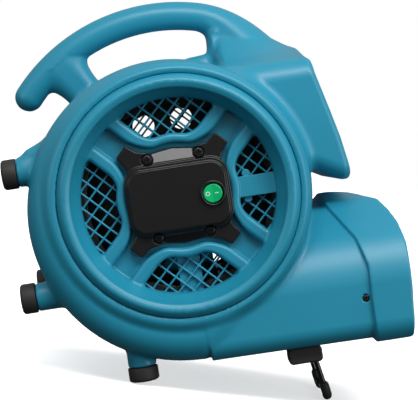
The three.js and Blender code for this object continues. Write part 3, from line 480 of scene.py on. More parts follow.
def handle(x, y, z):
    """Hoop of the handle, from its round tip to the neck that spreads into the console."""
    r, degrees = round_place(x, z)
    outer, inner = eased(degrees, NECK_OUTER), eased(degrees, NECK_INNER)
    half = eased(degrees, NECK_HALF)
    tall = (outer - inner) / 2
    edge = np.minimum(tall, half)
    off_r = np.abs(r - (outer + inner) / 2) - tall + edge
    off_y = np.abs(y) - half + edge
    sweep = np.minimum(np.maximum(off_r, off_y), 0)
    sweep = sweep + np.hypot(np.maximum(off_r, 0), np.maximum(off_y, 0)) - edge
    tip = math.radians(HANDLE_TIP)
    tip_x, tip_z = HANDLE_RADIUS * math.cos(tip), HANDLE_RADIUS * math.sin(tip)
    ball = np.sqrt((x - tip_x) ** 2 + y**2 + (z - tip_z) ** 2) - HANDLE_TUBE
    sweep = np.where(degrees > HANDLE_TIP, ball, sweep)
    return np.maximum(sweep, (NECK_START - degrees) * 2)


NECK_ROOT = outline(
    rounded(
        [
            (60, 100, 0),
            (60, 152, 0),
            (54.6, 150, 2),
            (51.5, 133.2, 9),
            (44, 132.4, 15),
            (30, 131.3, 20),
            (8, 121, 0),
        ]
    )
)


def strut(x, y, z):
    """Strut between the volute and the handle."""
    angle = math.radians(STRUT_ANGLE)
    along = x * math.cos(angle) + z * math.sin(angle)
    across = -x * math.sin(angle) + z * math.cos(angle)
    body = meet(np.abs(across - 0.6) - STRUT_HALF[0], np.abs(y) - STRUT_HALF[1], 12)
    return np.maximum(body, np.abs(along - 150) - 25)


FAIRING = outline(
    rounded(
        [
            (BACK_FOOT_TOP + 0.4, 35, 0),
            (BACK_FOOT_TOP + 0.4, 54, 3),
            (-137, 63.5, 12),
            (-117, 71.5, 0),
            (-110, 71, 0),
            (-110, 35, 0),
        ]
    )
)


def pedestals(x, y, z):
    """Moulded stands behind the rubber feet, on one side of the machine."""
    off_y = np.abs(y) - FOOT_Y
    parts = []
    for height in BACK_FOOT_Z.values():
        radial = np.hypot(off_y, z - height)
        parts.append(rod(radial, x, PEDESTAL_RADIUS, BACK_FOOT_TOP + 0.4, -100, 2))
    fairing = meet(np.abs(off_y) - 10, FAIRING(x, z), 8)
    radial = np.hypot(off_y, x - BASE_FOOT[0])
    base = rod(radial, z, PEDESTAL_RADIUS, BASE_FOOT[1] + 0.4, -110, 2)
    return merge(merge(parts[0], fairing, 5), np.minimum(parts[1], base), 1)


def in_panel(x, z):
    """Place in the control panel's frame: out of its face, and up along it."""
    dx, dz = x - PANEL_SPOT[0], z - PANEL_SPOT[1]
    out = dx * math.cos(PANEL_LEAN) + dz * math.sin(PANEL_LEAN)
    return out, dz * math.cos(PANEL_LEAN) - dx * math.sin(PANEL_LEAN)


def housing(x, y, z):
    """One half of the moulded housing, on the far side of the mid-plane."""
    r = np.hypot(x, z)
    sink = UNDERSIDE_SLOPE * (x - LEVEL_X)
    duct = meet(duct_section(y, z, 0, sink), np.maximum(DUCT_START - x, x - DUCT_END), 1)
    collar = meet(duct_section(y, z, COLLAR_STEP, sink), COLLAR_SIDE(x, z), 2.2)
    duct_fillet = 0.5 + 7.5 * np.clip((z + 157) / 36, 0, 1)
    handle_fillet = 4 + 30 * np.clip((174 - r) / 36, 0, 1)
    body = merge(drum(x, y, z), duct, duct_fillet)
    body = merge(body, console(x, y, z), 12)
    body = merge(body, strut(x, y, z), 7)
    body = merge(body, handle(x, y, z), handle_fillet)
    body = merge(body, meet(NECK_ROOT(x, z), np.abs(y) - NECK_ROOT_HALF, 8), 8)
    body = merge(body, pedestals(x, y, z), 4)
    body = merge(body, collar, 2.5)
    slant = (6.3 * (r - 117.5) + 6.7 * (y - BOSS_CREST)) / math.hypot(6.3, 6.7)
    valley = (3 * (118.5 - r) + 4.6 * (y - BOSS_CREST)) / math.hypot(3, 4.6)
    boss = meet(meet(r - BOSS_RADIUS, slant, 2.5), meet(y - BOSS_CREST, valley, 3), 2.5)
    boss = np.maximum(boss, BOSS_BACK - y)
    body = merge(body, boss, 7)

    hollow = drum(x, y, z, WALL)
    hollow = np.minimum(hollow, np.maximum(duct_section(y, z, 0) + WALL, DUCT_START + WALL - x))
    mouth = duct_section(y, z, COLLAR_STEP - COLLAR_WALL)
    hollow = np.minimum(hollow, np.maximum(mouth, DUCT_END + WALL - x))
    hollow = np.minimum(hollow, np.maximum(r - BORE_RADIUS, 60 - y))
    body = meet(body, -hollow, 1.2)
    body = meet(body, -np.maximum(r - SEAT_RADIUS, SEAT_FACE - y), 0.6)

    out, up = in_panel(x, z)
    pocket = np.maximum(np.abs(y) - POCKET_HALF[0], np.abs(up) - POCKET_HALF[1])
    pocket = np.maximum(pocket, -10 - out)
    room = np.maximum(np.abs(y) - ROOM_HALF[0], np.abs(up) - ROOM_HALF[1])
    room = np.maximum(room, -33 - out)
    body = meet(body, -np.minimum(pocket, room), 1)
    hole = np.maximum(np.hypot(x - GUARD_SCREW[0], z - GUARD_SCREW[1]) - 3.4, 126.4 - y)
    body = np.maximum(body, -hole)
    return meet(body, 0.15 - y, 0.8)


HOUSING_CELL = 1.9
shell = contour(housing, (-150, 0, -166), (206, 139, 195), HOUSING_CELL)
for name, side in SIDES:
    half = sided(f"housing_{name}", *shell, side)
    dress(half, TEAL, "body_teal", "housing", f"housing_shell_{name}")

# ---- Inlet covers -------------------------------------------------------------------------------

DISH = outline(
    rounded(
        [
            (113.6, SEAT_FACE + 0.3, 0),
            (113.6, 134.2, 0.6),
            (111.2, 138, 4),
            (107, 141.4, 5),
            (101, 138.6, 3),
            (98.6, 132, 4),
            (92.4, 118.5, 3),
            (92.4, COVER_BACK, 0),
            (96.5, COVER_BACK, 0),
            (103.4, SEAT_FACE + 0.3, 0),
        ]
    )
)


def windows(x, z, web, reach, corner):
    """Plan of the four grille windows: web is half the spoke between two of them."""
    along = np.maximum(np.abs(x), np.abs(z))
    side = np.minimum(np.abs(x), np.abs(z))
    hub = reach + WINDOW_WAVE * np.cos(np.pi * np.minimum(side, 24) / 24)
    return meet(web - (along - side) * math.sqrt(0.5), hub - along, corner)


def grid_bars(x, z):
    """Diagonal lattice in plan."""
    fields = []
    for across, start in (((x + z) * math.sqrt(0.5), 1.34), ((x - z) * math.sqrt(0.5), 0.21)):
        phase = np.mod(across - start + LATTICE_PITCH / 2, LATTICE_PITCH) - LATTICE_PITCH / 2
        fields.append(np.abs(phase) - LATTICE_BAR / 2)
    return np.minimum(*fields)


def cover(x, y, z):
    """Inlet cover without the details that only one side has."""
    r = np.hypot(x, z)
    opening = windows(x, z, WINDOW_WEB, WINDOW_INNER, 7)
    window = meet(opening, r - WINDOW_RADIUS, 4)
    outer_rim = windows(x, z, WINDOW_WEB - RIM_WEB, WINDOW_INNER - RIM_HUB, 13)
    rim = meet(np.maximum(outer_rim, r - 95), -window, 0.5)
    rim = meet(rim, np.maximum(y - RIM_CREST, COVER_BACK - y), 4.6)
    floor = np.maximum(np.maximum(y - COVER_FLOOR, COVER_BACK - y), r - 95)
    dish = DISH(r, y)
    plate = merge(merge(floor, rim, 1.5), dish, 2.5)
    plate = meet(plate, -window, 1)
    bars = meet(grid_bars(x, z), np.abs(y - 107.9) - 1.7, 0.8)
    bars = np.maximum(bars, np.maximum(opening, r - WINDOW_RADIUS) - 1)
    return np.minimum(plate, bars)


def lower_rib(x, y, z, half):
    """Rib behind the lower window of a cover."""
    plan = np.maximum(np.abs(x) - half, np.maximum(z + 52, -93 - z))
    return meet(plan, np.abs(y - 104.4) - 1.4, 0.5)


def far_cover(x, y, z):
    """Inlet cover of the motor's side, with its wiring channel."""
    return np.minimum(cover(x, y, z), lower_rib(x, y, z, 27))


def near_cover(x, y, z):
    """Inlet cover of the ionizer's side, with its flat bar and lower rib."""
    r = np.hypot(x, z)
    bar = np.maximum(np.abs(z + 1.25) - 9.75, np.maximum(50 - x, r - 94))
    bar = meet(bar, np.abs(y - 113.6) - 2.2, 0.5)
    for bump_x, bump_z in ((65.6, 10.9), (64.4, -12.8)):
        bump = np.hypot(x - bump_x, z - bump_z)
        bar = np.minimum(bar, rod(bump, y, 4, COVER_BACK, 112.5, 1))
    return np.minimum(np.minimum(cover(x, y, z), bar), lower_rib(x, y, z, 11))


COVER_CELL = 1.0
COVER_BOX = ((-114, 102, -114), (114, 141, 114))
for name, side, field in (("near", NEAR, near_cover), ("far", FAR, far_cover)):
    piece = surface(f"grille_{name}", field, *COVER_BOX, COVER_CELL, side)
    dress(piece, TEAL, "body_teal", "housing", f"inlet_cover_{name}")

# ---- Hub covers ---------------------------------------------------------------------------------

QUARTER = [
    (53.2, 42.9, 2),
    (42.9, 53.2, 2),
    (34, 45.9, 9),
    (20, 42.8, 9),
    (0, 45.6, 12),
    (-20, 42.8, 9),
    (-34, 45.9, 9),
]
CROSS = outline(
    rounded(
        [
            (x * math.cos(a) - z * math.sin(a), x * math.sin(a) + z * math.cos(a), radius)
            for a in np.radians((0, 90, 180, 270))
            for x, z, radius in QUARTER
        ]
    )
)


def box_plan(x, z, half_x, low_z, high_z, corner):
    """Plan of a rounded rectangle."""
    off_z = np.abs(z - (low_z + high_z) / 2) - (high_z - low_z) / 2
    return meet(np.abs(x) - half_x, off_z, corner)


def hub_cover(x, y, z):
    """Cross-shaped cover with a stepped raised middle, seen from outside."""
    dip = 0.44 * np.clip(np.abs(z) - 33.5, 0, 14) * np.clip((24 - np.abs(x)) / 5, 0, 1)
    plate = meet(CROSS(x, z), y - HUB_PLATE + dip, 1.2)
    step = meet(box_plan(x, z, 49.5, -35, 31.5, 17), y - HUB_STEP, 1)
    panel = meet(box_plan(x, z, 46, -31.5, 27.5, 14), y - HUB_PANEL, 1.3)
    body = merge(merge(plate, step, 1.5), panel, 1.5)
    body = np.maximum(body, COVER_FLOOR + 0.3 - y)
    pocket = np.maximum(box_plan(x, z, 41, -28, 23.5, 8), y - HUB_PANEL + 2.5)
    body = np.maximum(body, -pocket)
    screw = np.hypot(np.abs(x) - HUB_SCREW[0], np.abs(z) - HUB_SCREW[1])
    sink = np.maximum(screw - 5.5, HUB_PLATE - 3.5 - y)
    return np.maximum(meet(body, -sink, 0.8), 2.4 - screw)


def ion_cover(x, y, z):
    """Hub cover with the hole for the ionizer switch."""
    hole = np.hypot(x - SWITCH[0], z - SWITCH[1]) - 11
    return np.maximum(hub_cover(x, y, z), -hole)


HUB_CELL = 0.8
HUB_BOX = ((-56, 107, -56), (56, 127, 56))
piece = surface("ionizer_cover", ion_cover, *HUB_BOX, HUB_CELL, NEAR)
dress(piece, BLACK, "satin_black", "housing", "ion_cover")
piece = surface("far_hub_cover", hub_cover, *HUB_BOX, HUB_CELL, FAR)
dress(piece, BLACK, "satin_black", "housing", "hub_cover_far")

# ---- Turned parts, screws, switch ---------------------------------------------------------------


def turned(profile, sides=48):
    """Points and quads of a profile of (radius, height) turned about +z."""
    angles = np.arange(sides) * 2 * math.pi / sides
    points = [
        (max(radius, 0.01) * math.cos(a), max(radius, 0.01) * math.sin(a), height)
        for radius, height in profile
        for a in angles
    ]
    faces = []
    for ring in range(len(profile) - 1):
        for side in range(sides):
            a, b = ring * sides + side, ring * sides + (side + 1) % sides
            faces.append((a, b, b + sides, a + sides))
    return np.array(points), np.array(faces)


def turn_to(direction):
    """Rotation that takes +z to a direction, for row vectors."""
    turn = Vector((0, 0, 1)).rotation_difference(Vector(direction)).to_matrix()
    return np.array(turn).T


def lathe(name, profile, at, direction, sides=48):
    """Turned piece along a direction of the machine's frame."""
    points, faces = turned(profile, sides)
    piece = new_mesh(name, points @ turn_to(direction) + np.array(at, float), faces)
    piece.data.set_sharp_from_angle(angle=math.radians(40))
    return piece


def stamp(name, shape, at, direction):
    """Copy of a contoured shape drawn about +z."""
    points, faces, normals = shape
    turn = turn_to(direction)
    return new_mesh(name, points @ turn + np.array(at, float), faces, normals @ turn)


def screw_shape(head, tall, shank, cell):
    """Cross-head screw about +z, its head standing on z = 0."""

    def field(x, y, z):
        r = np.hypot(x, y)
        dome = (r / head) ** 2 * tall * 0.35
        cap = meet(r - head, z - tall + dome, tall * 0.3)
        cap = np.maximum(cap, -z)
        stem = rod(r, z, shank, -3.5, 0.5, 0.2)
        width = head * 0.17
        arm_x = np.maximum(np.abs(x) - width, np.abs(y) - head * 0.62)
        arm_y = np.maximum(np.abs(y) - width, np.abs(x) - head * 0.62)
        recess = np.maximum(np.minimum(arm_x, arm_y), tall * 0.3 - z)
        return np.maximum(np.minimum(cap, stem), -recess)

    return contour(field, (-head, -head, -3.5), (head, head, tall), cell)


DRAFT_CELL = 1
OUT_NEAR, OUT_FAR = (0, -1, 0), (0, 1, 0)
PANEL_OUT = (math.cos(PANEL_LEAN), 0, math.sin(PANEL_LEAN))
PANEL_UP = (-math.sin(PANEL_LEAN), 0, math.cos(PANEL_LEAN))


def on_panel(out, y, up):
    """Point given in the control panel's frame."""
    spot = np.array([PANEL_SPOT[0], 0, PANEL_SPOT[1]])
    return spot + out * np.array(PANEL_OUT) + np.array([0, y, 0]) + up * np.array(PANEL_UP)


hub_screw = screw_shape(4.8, 2.8, 2.1, 0.35 * DRAFT_CELL)
signs = (-1, 1)
for i, (sx, sz) in enumerate(itertools.product(signs, signs), 1):
    x, z = sx * HUB_SCREW[0], sz * HUB_SCREW[1]
    seat = HUB_PLATE - 3.2
    near = stamp(f"ion_screw_{i}", hub_screw, (x, -seat, z), OUT_NEAR)
    dress(near, DARK_STEEL, "dark_steel", "housing", f"ion_cover_screw_{i}")
    far = stamp(f"hub_screw_{i}", hub_screw, (x, seat, z), OUT_FAR)
    dress(far, DARK_STEEL, "dark_steel", "housing", f"hub_cover_screw_{i}")

bolt = screw_shape(4.4, 3, 2.2, 0.35 * DRAFT_CELL)
for i, angle in enumerate(np.radians((45, 135, 225, 315)), 1):
    at = (26 * math.cos(angle), COVER_FLOOR + 0.3, 26 * math.sin(angle))
    piece = stamp(f"motor_through_bolt_{i}", bolt, at, OUT_FAR)
    dress(piece, DARK_STEEL, "dark_steel", "housing", f"motor_bolt_{i}")

guard_screw = screw_shape(3.1, 2, 1.9, 0.25 * DRAFT_CELL)
for name, side in SIDES:
    at = (GUARD_SCREW[0], side * (DUCT_HALF - 1.3), GUARD_SCREW[1])
    piece = stamp(f"collar_screw_{name}", guard_screw, at, (0, side, 0))
    dress(piece, DARK_STEEL, "dark_steel", "housing", f"guard_screw_{name}")

BEZEL = [
    (10.6, -8),
    (10.6, 0.1),
    (12.1, 0.1),
    (12.2, 0.5),
    (12.2, 1.9),
    (11.9, 2.5),
    (11.3, 2.85),
    (10.7, 2.85),
    (10.1, 2.5),
    (9.8, 1.9),
    (9.7, -5),
    (9.7, -8),
    (10.6, -8),
]
at = (SWITCH[0], -HUB_PANEL - 0.3, SWITCH[1])
piece = lathe("switch_bezel", BEZEL, at, OUT_NEAR, 64)
dress(piece, BLACK, "satin_black", "housing", "ion_switch_body")

ROCKER_AXIS = HUB_PANEL - 1.4
ROCKER_TILT = math.radians(7)
ROCKER_RADIUS = 8.9


def on_rocker(x, y, z):
    """Place on the rocker: along its face, height over the face, up, and out of the hub."""
    dx, dy = x - SWITCH[0], y - ROCKER_AXIS
    along = dx * math.cos(ROCKER_TILT) + dy * math.sin(ROCKER_TILT)
    out = dy * math.cos(ROCKER_TILT) - dx * math.sin(ROCKER_TILT)
    return along, out - 3 - 0.155 * np.abs(along), z - SWITCH[1], out


def rocker(x, y, z):
    """Round rocker whose face dips towards its middle."""
    along, over, up, out = on_rocker(x, y, z)
    return np.maximum(meet(np.hypot(along, up) - ROCKER_RADIUS, over, 0.9), -1 - out)


def rocker_marks(x, y, z):
    """Generic ring and bar on the rocker's face."""
    along, over, up, _ = on_rocker(x, y, z)
    ring = np.abs(np.hypot(along + 4.7, up) - 1.7) - 0.36
    dash = np.maximum(np.abs(along - 3.6) - 1.9, np.abs(up) - 0.36)
    return np.maximum(np.minimum(ring, dash), np.maximum(over - 0.12, -0.5 - over))


low = (SWITCH[0] - 9.2, ROCKER_AXIS - 2.2, SWITCH[1] - 9.2)
high = (SWITCH[0] + 9.2, ROCKER_AXIS + 6, SWITCH[1] + 9.2)
piece = surface("rocker_lens", rocker, low, high, 0.4 * DRAFT_CELL, NEAR)
dress(piece, LENS, "green_lens", "ion_rocker", "ion_switch_rocker")
low = (SWITCH[0] - 7.2, ROCKER_AXIS + 1.5, SWITCH[1] - 2.4)
high = (SWITCH[0] + 6.2, ROCKER_AXIS + 4.8, SWITCH[1] + 2.4)
piece = surface("rocker_marks", rocker_marks, low, high, 0.16 * DRAFT_CELL, NEAR)
dress(piece, MARKS, "green_lens", "ion_rocker")

# ---- Blower wheel and motor ---------------------------------------------------------------------

WHEEL_HALF = 95
WHEEL_HOLES = (79, 109, 259, 289)
WHEEL_HOLE_REACH = 75
BLADES = 40


def wheel_disc(x, y, z):
    """Perforated centre disc."""
    r = np.hypot(x, z)
    plate = meet(r - 98.5, np.abs(y) - 1.5, 0.6)
    plate = np.maximum(plate, 11.6 - r)
    for angle in np.radians(WHEEL_HOLES):
        hole_x, hole_z = WHEEL_HOLE_REACH * math.cos(angle), WHEEL_HOLE_REACH * math.sin(angle)
        plate = np.maximum(plate, 11 - np.hypot(x - hole_x, z - hole_z))
    return plate


points, quads, normals = contour(wheel_disc, (-99, -2, -99), (99, 2, 99), 1.4 * DRAFT_CELL)
piece = new_mesh("wheel_disc", points, quads, normals)
dress(piece, BLACK, "satin_black", "blower", "impeller")
RING = [(87, -2), (87, 1.5), (87.6, 2), (99, 2), (99.8, 1.2), (99.8, -1.4), (99, -2), (87, -2)]
for name, side in SIDES:
    piece = lathe(f"wheel_ring_{name}", RING, (0, side * (WHEEL_HALF - 2), 0), (0, side, 0), 96)
    dress(piece, BLACK, "satin_black", "blower")


def blades():
    """Forward-curved blades as one mesh of closed strips."""
    points, faces = [], []
    stations = np.linspace(0, 1, 7)
    for k in range(BLADES):
        start = 2 * math.pi * k / BLADES
        outline_points = []
        for side in (-1, 1):
            for t in stations[::side]:
                r = 87.6 + 11.4 * t + side * 0.1
                angle = start + 0.17 * math.sin(t * math.pi / 2) + side * 0.0065
                outline_points.append((r * math.cos(angle), r * math.sin(angle)))
        base, count = len(points), len(outline_points)
        for y in (-WHEEL_HALF + 3, WHEEL_HALF - 3):
            points += [(x, y, z) for x, z in outline_points]
        for i in range(count):
            j = (i + 1) % count
            faces.append((base + i, base + j, base + count + j, base + count + i))
    return np.array(points), np.array(faces)


piece = new_mesh("wheel_blades", *blades())
piece.data.set_sharp_from_angle(angle=math.radians(40))
dress(piece, BLACK, "satin_black", "blower")

CAN = [
    (6, 26.2),
    (42, 26.2),
    (45.5, 27.2),
    (47.4, 29.4),
    (47.9, 32),
    (47.9, 60),
    (46.9, 61),
    (46.9, 63),
    (47.9, 64),
    (47.9, 95.4),
    (46, 95.4),
    (46, 32),
    (6, 28.2),
    (6, 26.2),
]
piece = lathe("motor_shell", CAN, (0, 0, 0), OUT_FAR, 72)
dress(piece, ENAMEL, "motor_enamel", "housing", "motor_can")
KEPT = {
    "impeller_hub": STEEL,
    "hub_set_screw": DARK_STEEL,
    "motor_shaft": STEEL,
    "motor_end_bell": ENAMEL,
    "motor_stator": ENAMEL,
    "motor_coil_near": COPPER,
    "motor_coil_far": COPPER,
    "motor_rotor": STEEL,
    "motor_bearing_near": STEEL,
    "motor_bearing_far": STEEL,
    "motor_capacitor": STEEL,
    "ion_generator": POTTING,
    "ion_emitter_1": POTTING,
    "ion_emitter_2": POTTING,
    "speed_switch_body": POTTING,
}
for name, material in KEPT.items():
    node = frame["nodes"][name]
    node.data.materials.clear()
    node.data.materials.append(material)

# ---- Control panel ------------------------------------------------------------------------------

PLATE_BACK = -9.7
PLATE_FACE = PLATE_BACK + 2.5
KNOB_Y = -22
BREAKER = (18, 10)
GLAND = (30, -14)
PANEL_SCREW = (51, 26)


def panel_plate(x, y, z):
    """Switch plate about +z with its holes; x is across the machine, y is up."""
    plate = meet(np.abs(x) - 55.5, np.abs(y) - 30.5, 3.5)
    plate = meet(plate, np.maximum(z - PLATE_FACE, PLATE_BACK - z), 0.7)
    frame_line = np.abs(meet(np.abs(x) - 46, np.abs(y) - 25.5, 5)) - 0.8
    plate = np.maximum(plate, -np.maximum(frame_line, PLATE_FACE - 0.6 - z))
    for hole_x, hole_y, radius in ((KNOB_Y, 0, 3.6), (*BREAKER, 5.7), (*GLAND, 7.3)):
        plate = np.maximum(plate, radius - np.hypot(x - hole_x, y - hole_y))
    screws = np.hypot(np.abs(x) - PANEL_SCREW[0], np.abs(y) - PANEL_SCREW[1])
    return np.maximum(plate, 1.8 - screws)


def panel_piece(name, field, low, high, cell):
    """Piece from a field drawn in the panel's frame: across, up, out of its face."""
    points, quads, normals = contour(field, low, high, cell)
    axes = np.array([[0, 1, 0], PANEL_UP, PANEL_OUT])
    spot = np.array([PANEL_SPOT[0], 0, PANEL_SPOT[1]])
    return new_mesh(name, points @ axes + spot, quads, normals @ axes)


low, high = (-56, -31, -10), (56, 31, -7)
piece = panel_piece("switch_plate", panel_plate, low, high, 0.8 * DRAFT_CELL)
dress(piece, BLACK, "satin_black", "housing", "control_panel")


def knob(x, y, z):
    """Fluted knob with a pointer groove."""
    dx, dy = x - KNOB_Y, y
    r, angle = np.hypot(dx, dy), np.arctan2(dy, dx)
    grip = meet(r - 10 + 0.45 * np.cos(angle * 16), z - PLATE_FACE - 8, 1.6)
    grip = np.maximum(grip, PLATE_FACE + 2 - z)
    skirt = rod(r, z, 13, PLATE_FACE + 0.5, PLATE_FACE + 3.2, 0.9)
    stem = rod(r, z, 3, PLATE_BACK - 1, PLATE_FACE + 3, 0.3)
    groove = np.maximum(np.maximum(np.abs(dx) - 0.8, 2 - dy), PLATE_FACE + 6.6 - z)
    return np.maximum(np.minimum(merge(grip, skirt, 1), stem), -groove)


low, high = (KNOB_Y - 13, -13, PLATE_BACK - 1), (KNOB_Y + 13, 13, PLATE_FACE + 8)
piece = panel_piece("speed_dial", knob, low, high, 0.5 * DRAFT_CELL)
dress(piece, BLACK, "satin_black", "knob", "speed_knob")


def breaker(x, y, z):
    """Breaker: body behind the plate, threaded bush and ring nut in front."""
    dx, dy = x - BREAKER[0], y - BREAKER[1]
    r = np.hypot(dx, dy)
    body = meet(np.abs(dx) - 7.5, np.abs(dy) - 7.5, 1)
    body = np.maximum(body, np.maximum(z - PLATE_BACK + 0.3, PLATE_BACK - 20 - z))
    bush = rod(r + 0.15 * np.sin(z * 8), z, 5.3, PLATE_BACK - 1, PLATE_FACE + 3, 0.4)
    return np.maximum(np.minimum(body, bush), np.minimum(z - PLATE_BACK + 12, 3.5 - r))


low = (BREAKER[0] - 8, BREAKER[1] - 8, PLATE_BACK - 20)
high = (BREAKER[0] + 8, BREAKER[1] + 8, PLATE_FACE + 3)
piece = panel_piece("breaker_bush", breaker, low, high, 0.5 * DRAFT_CELL)
dress(piece, POTTING, "potting_black", "housing", "breaker_body")
BUTTON = [(0, -6), (3.1, -6), (3.1, 7.2), (2.8, 7.8), (2.1, 8.1), (0, 8.2)]
piece = lathe("breaker_cap", BUTTON, on_panel(PLATE_BACK, *BREAKER), PANEL_OUT, 32)
dress(piece, RED, "red_button", "breaker", "breaker_button")
GLAND_PROFILE = [
    (4, -8),
    (7, -8),
    (7, 2.8),
    (9.4, 2.8),
    (9.9, 3.3),
    (9.9, 4.9),
    (9.4, 5.4),
    (7, 5.6),
    (6.8, 7.2),
    (5.6, 8),
    (4, 8),
    (4, -8),
]
piece = lathe("gland_bush", GLAND_PROFILE, on_panel(PLATE_BACK, *GLAND), PANEL_OUT, 48)
dress(piece, BLACK, "satin_black", "housing", "cord_gland")
panel_screw = screw_shape(3.4, 2, 1.4, 0.25 * DRAFT_CELL)
for i, (sy, sz) in enumerate(itertools.product(signs, signs), 1):
    at = on_panel(PLATE_FACE + 0.3, sy * PANEL_SCREW[0], sz * PANEL_SCREW[1])
    piece = stamp(f"plate_screw_{i}", panel_screw, at, PANEL_OUT)
    dress(piece, DARK_STEEL, "dark_steel", "housing", f"panel_screw_{i}")

# ---- Outlet guard -------------------------------------------------------------------------------

GUARD_COLUMN = 20
GUARD_ROW = 35


def guard(x, y, z):
    """Grid across the outlet, just behind the collar."""
    section = duct_section(y, z, -WALL - 0.6)
    rim = meet(section, -duct_section(y, z, -WALL - 4.6), 0.8)
    rim = np.maximum(rim, np.abs(x - 155) - 6.8)
    column = np.abs(np.mod(y + GUARD_COLUMN / 2, GUARD_COLUMN) - GUARD_COLUMN / 2)
    bars = np.hypot(column, x - 157.5) - 1.35
    row = np.abs(np.mod(z + 125 + GUARD_ROW / 2, GUARD_ROW) - GUARD_ROW / 2)
    bars = np.minimum(bars, np.hypot(row, x - 155.5) - 1.5)
    hole = np.hypot(x - GUARD_SCREW[0], z - GUARD_SCREW[1]) - 2.2
    return np.maximum(np.minimum(rim, np.maximum(bars, section + 1)), -hole)


points, quads, normals = contour(guard, (148, -125, -158), (162, 125, -28), 1.3 * DRAFT_CELL)
piece = new_mesh("outlet_grid", points, quads, normals)
dress(piece, BLACK, "satin_black", "housing", "outlet_guard")

# ---- Feet, brackets and kickstand ---------------------------------------------------------------


def foot_profile(length):
    """Rubber foot from its mounting face out to the sole."""
    arc = [math.radians(a) for a in (0, 22, 45, 68, 90)]
    sole = [(FOOT_RADIUS - 3.4 + 3.4 * math.cos(a), length - 3 + 3 * math.sin(a)) for a in arc]
    heel = [(FOOT_RADIUS - 1.2, 0), (FOOT_RADIUS - 0.35, 0.4), (FOOT_RADIUS, 1.4)]
    return [(0, 0)] + heel + sole + [(5, length), (4.4, length - 1), (0, length - 1)]


BASE_FOOT_LENGTH = 13.8
BACK_FOOT_LENGTH = 14.5
for name, side in SIDES:
    at = (BASE_FOOT[0], side * FOOT_Y, BASE_FOOT[1])
    piece = lathe(f"sole_{name}", foot_profile(BASE_FOOT_LENGTH), at, (0, 0, -1))
    dress(piece, RUBBER, "rubber_black", "housing", f"base_foot_{name}")
    for level, height in BACK_FOOT_Z.items():
        at = (BACK_FOOT_TOP, side * FOOT_Y, height)
        piece = lathe(f"bumper_{level}_{name}", foot_profile(BACK_FOOT_LENGTH), at, (-1, 0, 0))
        dress(piece, RUBBER, "rubber_black", "housing", f"back_foot_{level}_{name}")

STAND_PIVOT = np.array([106.5, 0, -167])
STAND_BEND = np.array([115.7, 0, -220.3])
STAND_HALF = 47
STAND_END = 95
STAND_BEND_RADIUS = 9
STAND_WIRE = 2.5
STAND_BOOT = 4.6
BOOT_LENGTH = 16


def bracket(x, y, z):
    """Moulded block that holds one end of the kickstand."""
    plan = meet(np.abs(x - 96.25) - 16.25, np.maximum(-176.4 - z, z + 160.8), 4)
    block = meet(plan, np.abs(y - 94) - 14, 2)
    pin = np.hypot(x - STAND_PIVOT[0], z - STAND_PIVOT[2])
    return np.maximum(block, -np.maximum(pin - 2.85, y - 97))


for name, side in SIDES:
    low, high = (80, 80, -177), (113, 108, -160)
    piece = surface(f"hinge_block_{name}", bracket, low, high, DRAFT_CELL, side)
    dress(piece, RUBBER, "rubber_black", "housing", f"stand_bracket_{name}")


def bent(corners, radius, steps=8):
    """Points along straight runs joined by round bends."""
    corners = [np.array(c, float) for c in corners]
    points = [corners[0]]
    for before, at, after in zip(corners, corners[1:], corners[2:]):
        start = at + (before - at) / np.linalg.norm(before - at) * radius
        end = at + (after - at) / np.linalg.norm(after - at) * radius
        for t in np.linspace(0, 1, steps):
            points.append((1 - t) ** 2 * start + 2 * t * (1 - t) * at + t * t * end)
    return points + [corners[-1]]


def sweep(name, points, radius, sides=20):
    """Round bar along a path, its ends rounded over."""
    points = np.array(points)
    tangents = np.gradient(points, axis=0)
    tangents /= np.linalg.norm(tangents, axis=1, keepdims=True)
    normal = np.array([0.31, 0.17, 0.93])
    centers, radii, turns = [], [], []
    for i, (point, tangent) in enumerate(zip(points, tangents)):
        normal = normal - tangent * (normal @ tangent)
        normal /= np.linalg.norm(normal)
        round_axes = (normal.copy(), np.cross(tangent, normal))
        ring = [(0, 1)]
        if i == 0:
            ring = [(1 - math.sin(a), math.cos(a)) for a in np.radians((88, 65, 40, 15))]
        if i == len(points) - 1:
            ring = [(math.sin(a) - 1, math.cos(a)) for a in np.radians((15, 40, 65, 88))]
        for shift, share in ring:
            centers.append(point + tangent * shift * radius)
            radii.append(share * radius)
            turns.append(round_axes)
    angles = np.arange(sides) * 2 * math.pi / sides
    vertices, faces = [], []
    for center, size, (n, b) in zip(centers, radii, turns):
        vertices += [center + size * (math.cos(a) * n + math.sin(a) * b) for a in angles]
    for ring in range(len(centers) - 1):
        for side in range(sides):
            a, b = ring * sides + side, ring * sides + (side + 1) % sides
            faces.append((a, b, b + sides, a + sides))
    return new_mesh(name, np.array(vertices), np.array(faces))


def across(point, y):
    """The same side-view point at another place across the machine."""
    return point + np.array([0, y, 0])


route = [
    across(STAND_PIVOT, -STAND_END),
    across(STAND_PIVOT, -STAND_HALF),
    across(STAND_BEND, -STAND_HALF),
    across(STAND_BEND, STAND_HALF),
    across(STAND_PIVOT, STAND_HALF),
    across(STAND_PIVOT, STAND_END),
]
piece = sweep("kickstand_rod", bent(route, STAND_BEND_RADIUS), STAND_WIRE)
dress(piece, STAND_STEEL, "plated_steel", "stand", "kickstand_wire")
for name, side in SIDES:
    corner = across(STAND_BEND, side * STAND_HALF)
    leg = across(STAND_PIVOT, side * STAND_HALF) - corner
    leg_end = corner + leg / np.linalg.norm(leg) * BOOT_LENGTH
    bar_end = across(STAND_BEND, side * (STAND_HALF - BOOT_LENGTH))
    path = bent([leg_end, corner, bar_end], STAND_BEND_RADIUS)
    piece = sweep(f"kickstand_sleeve_{name}", path, STAND_BOOT, 24)
    dress(piece, RUBBER, "rubber_black", "stand", f"kickstand_boot_{name}")

# ---- Studio -------------------------------------------------------------------------------------


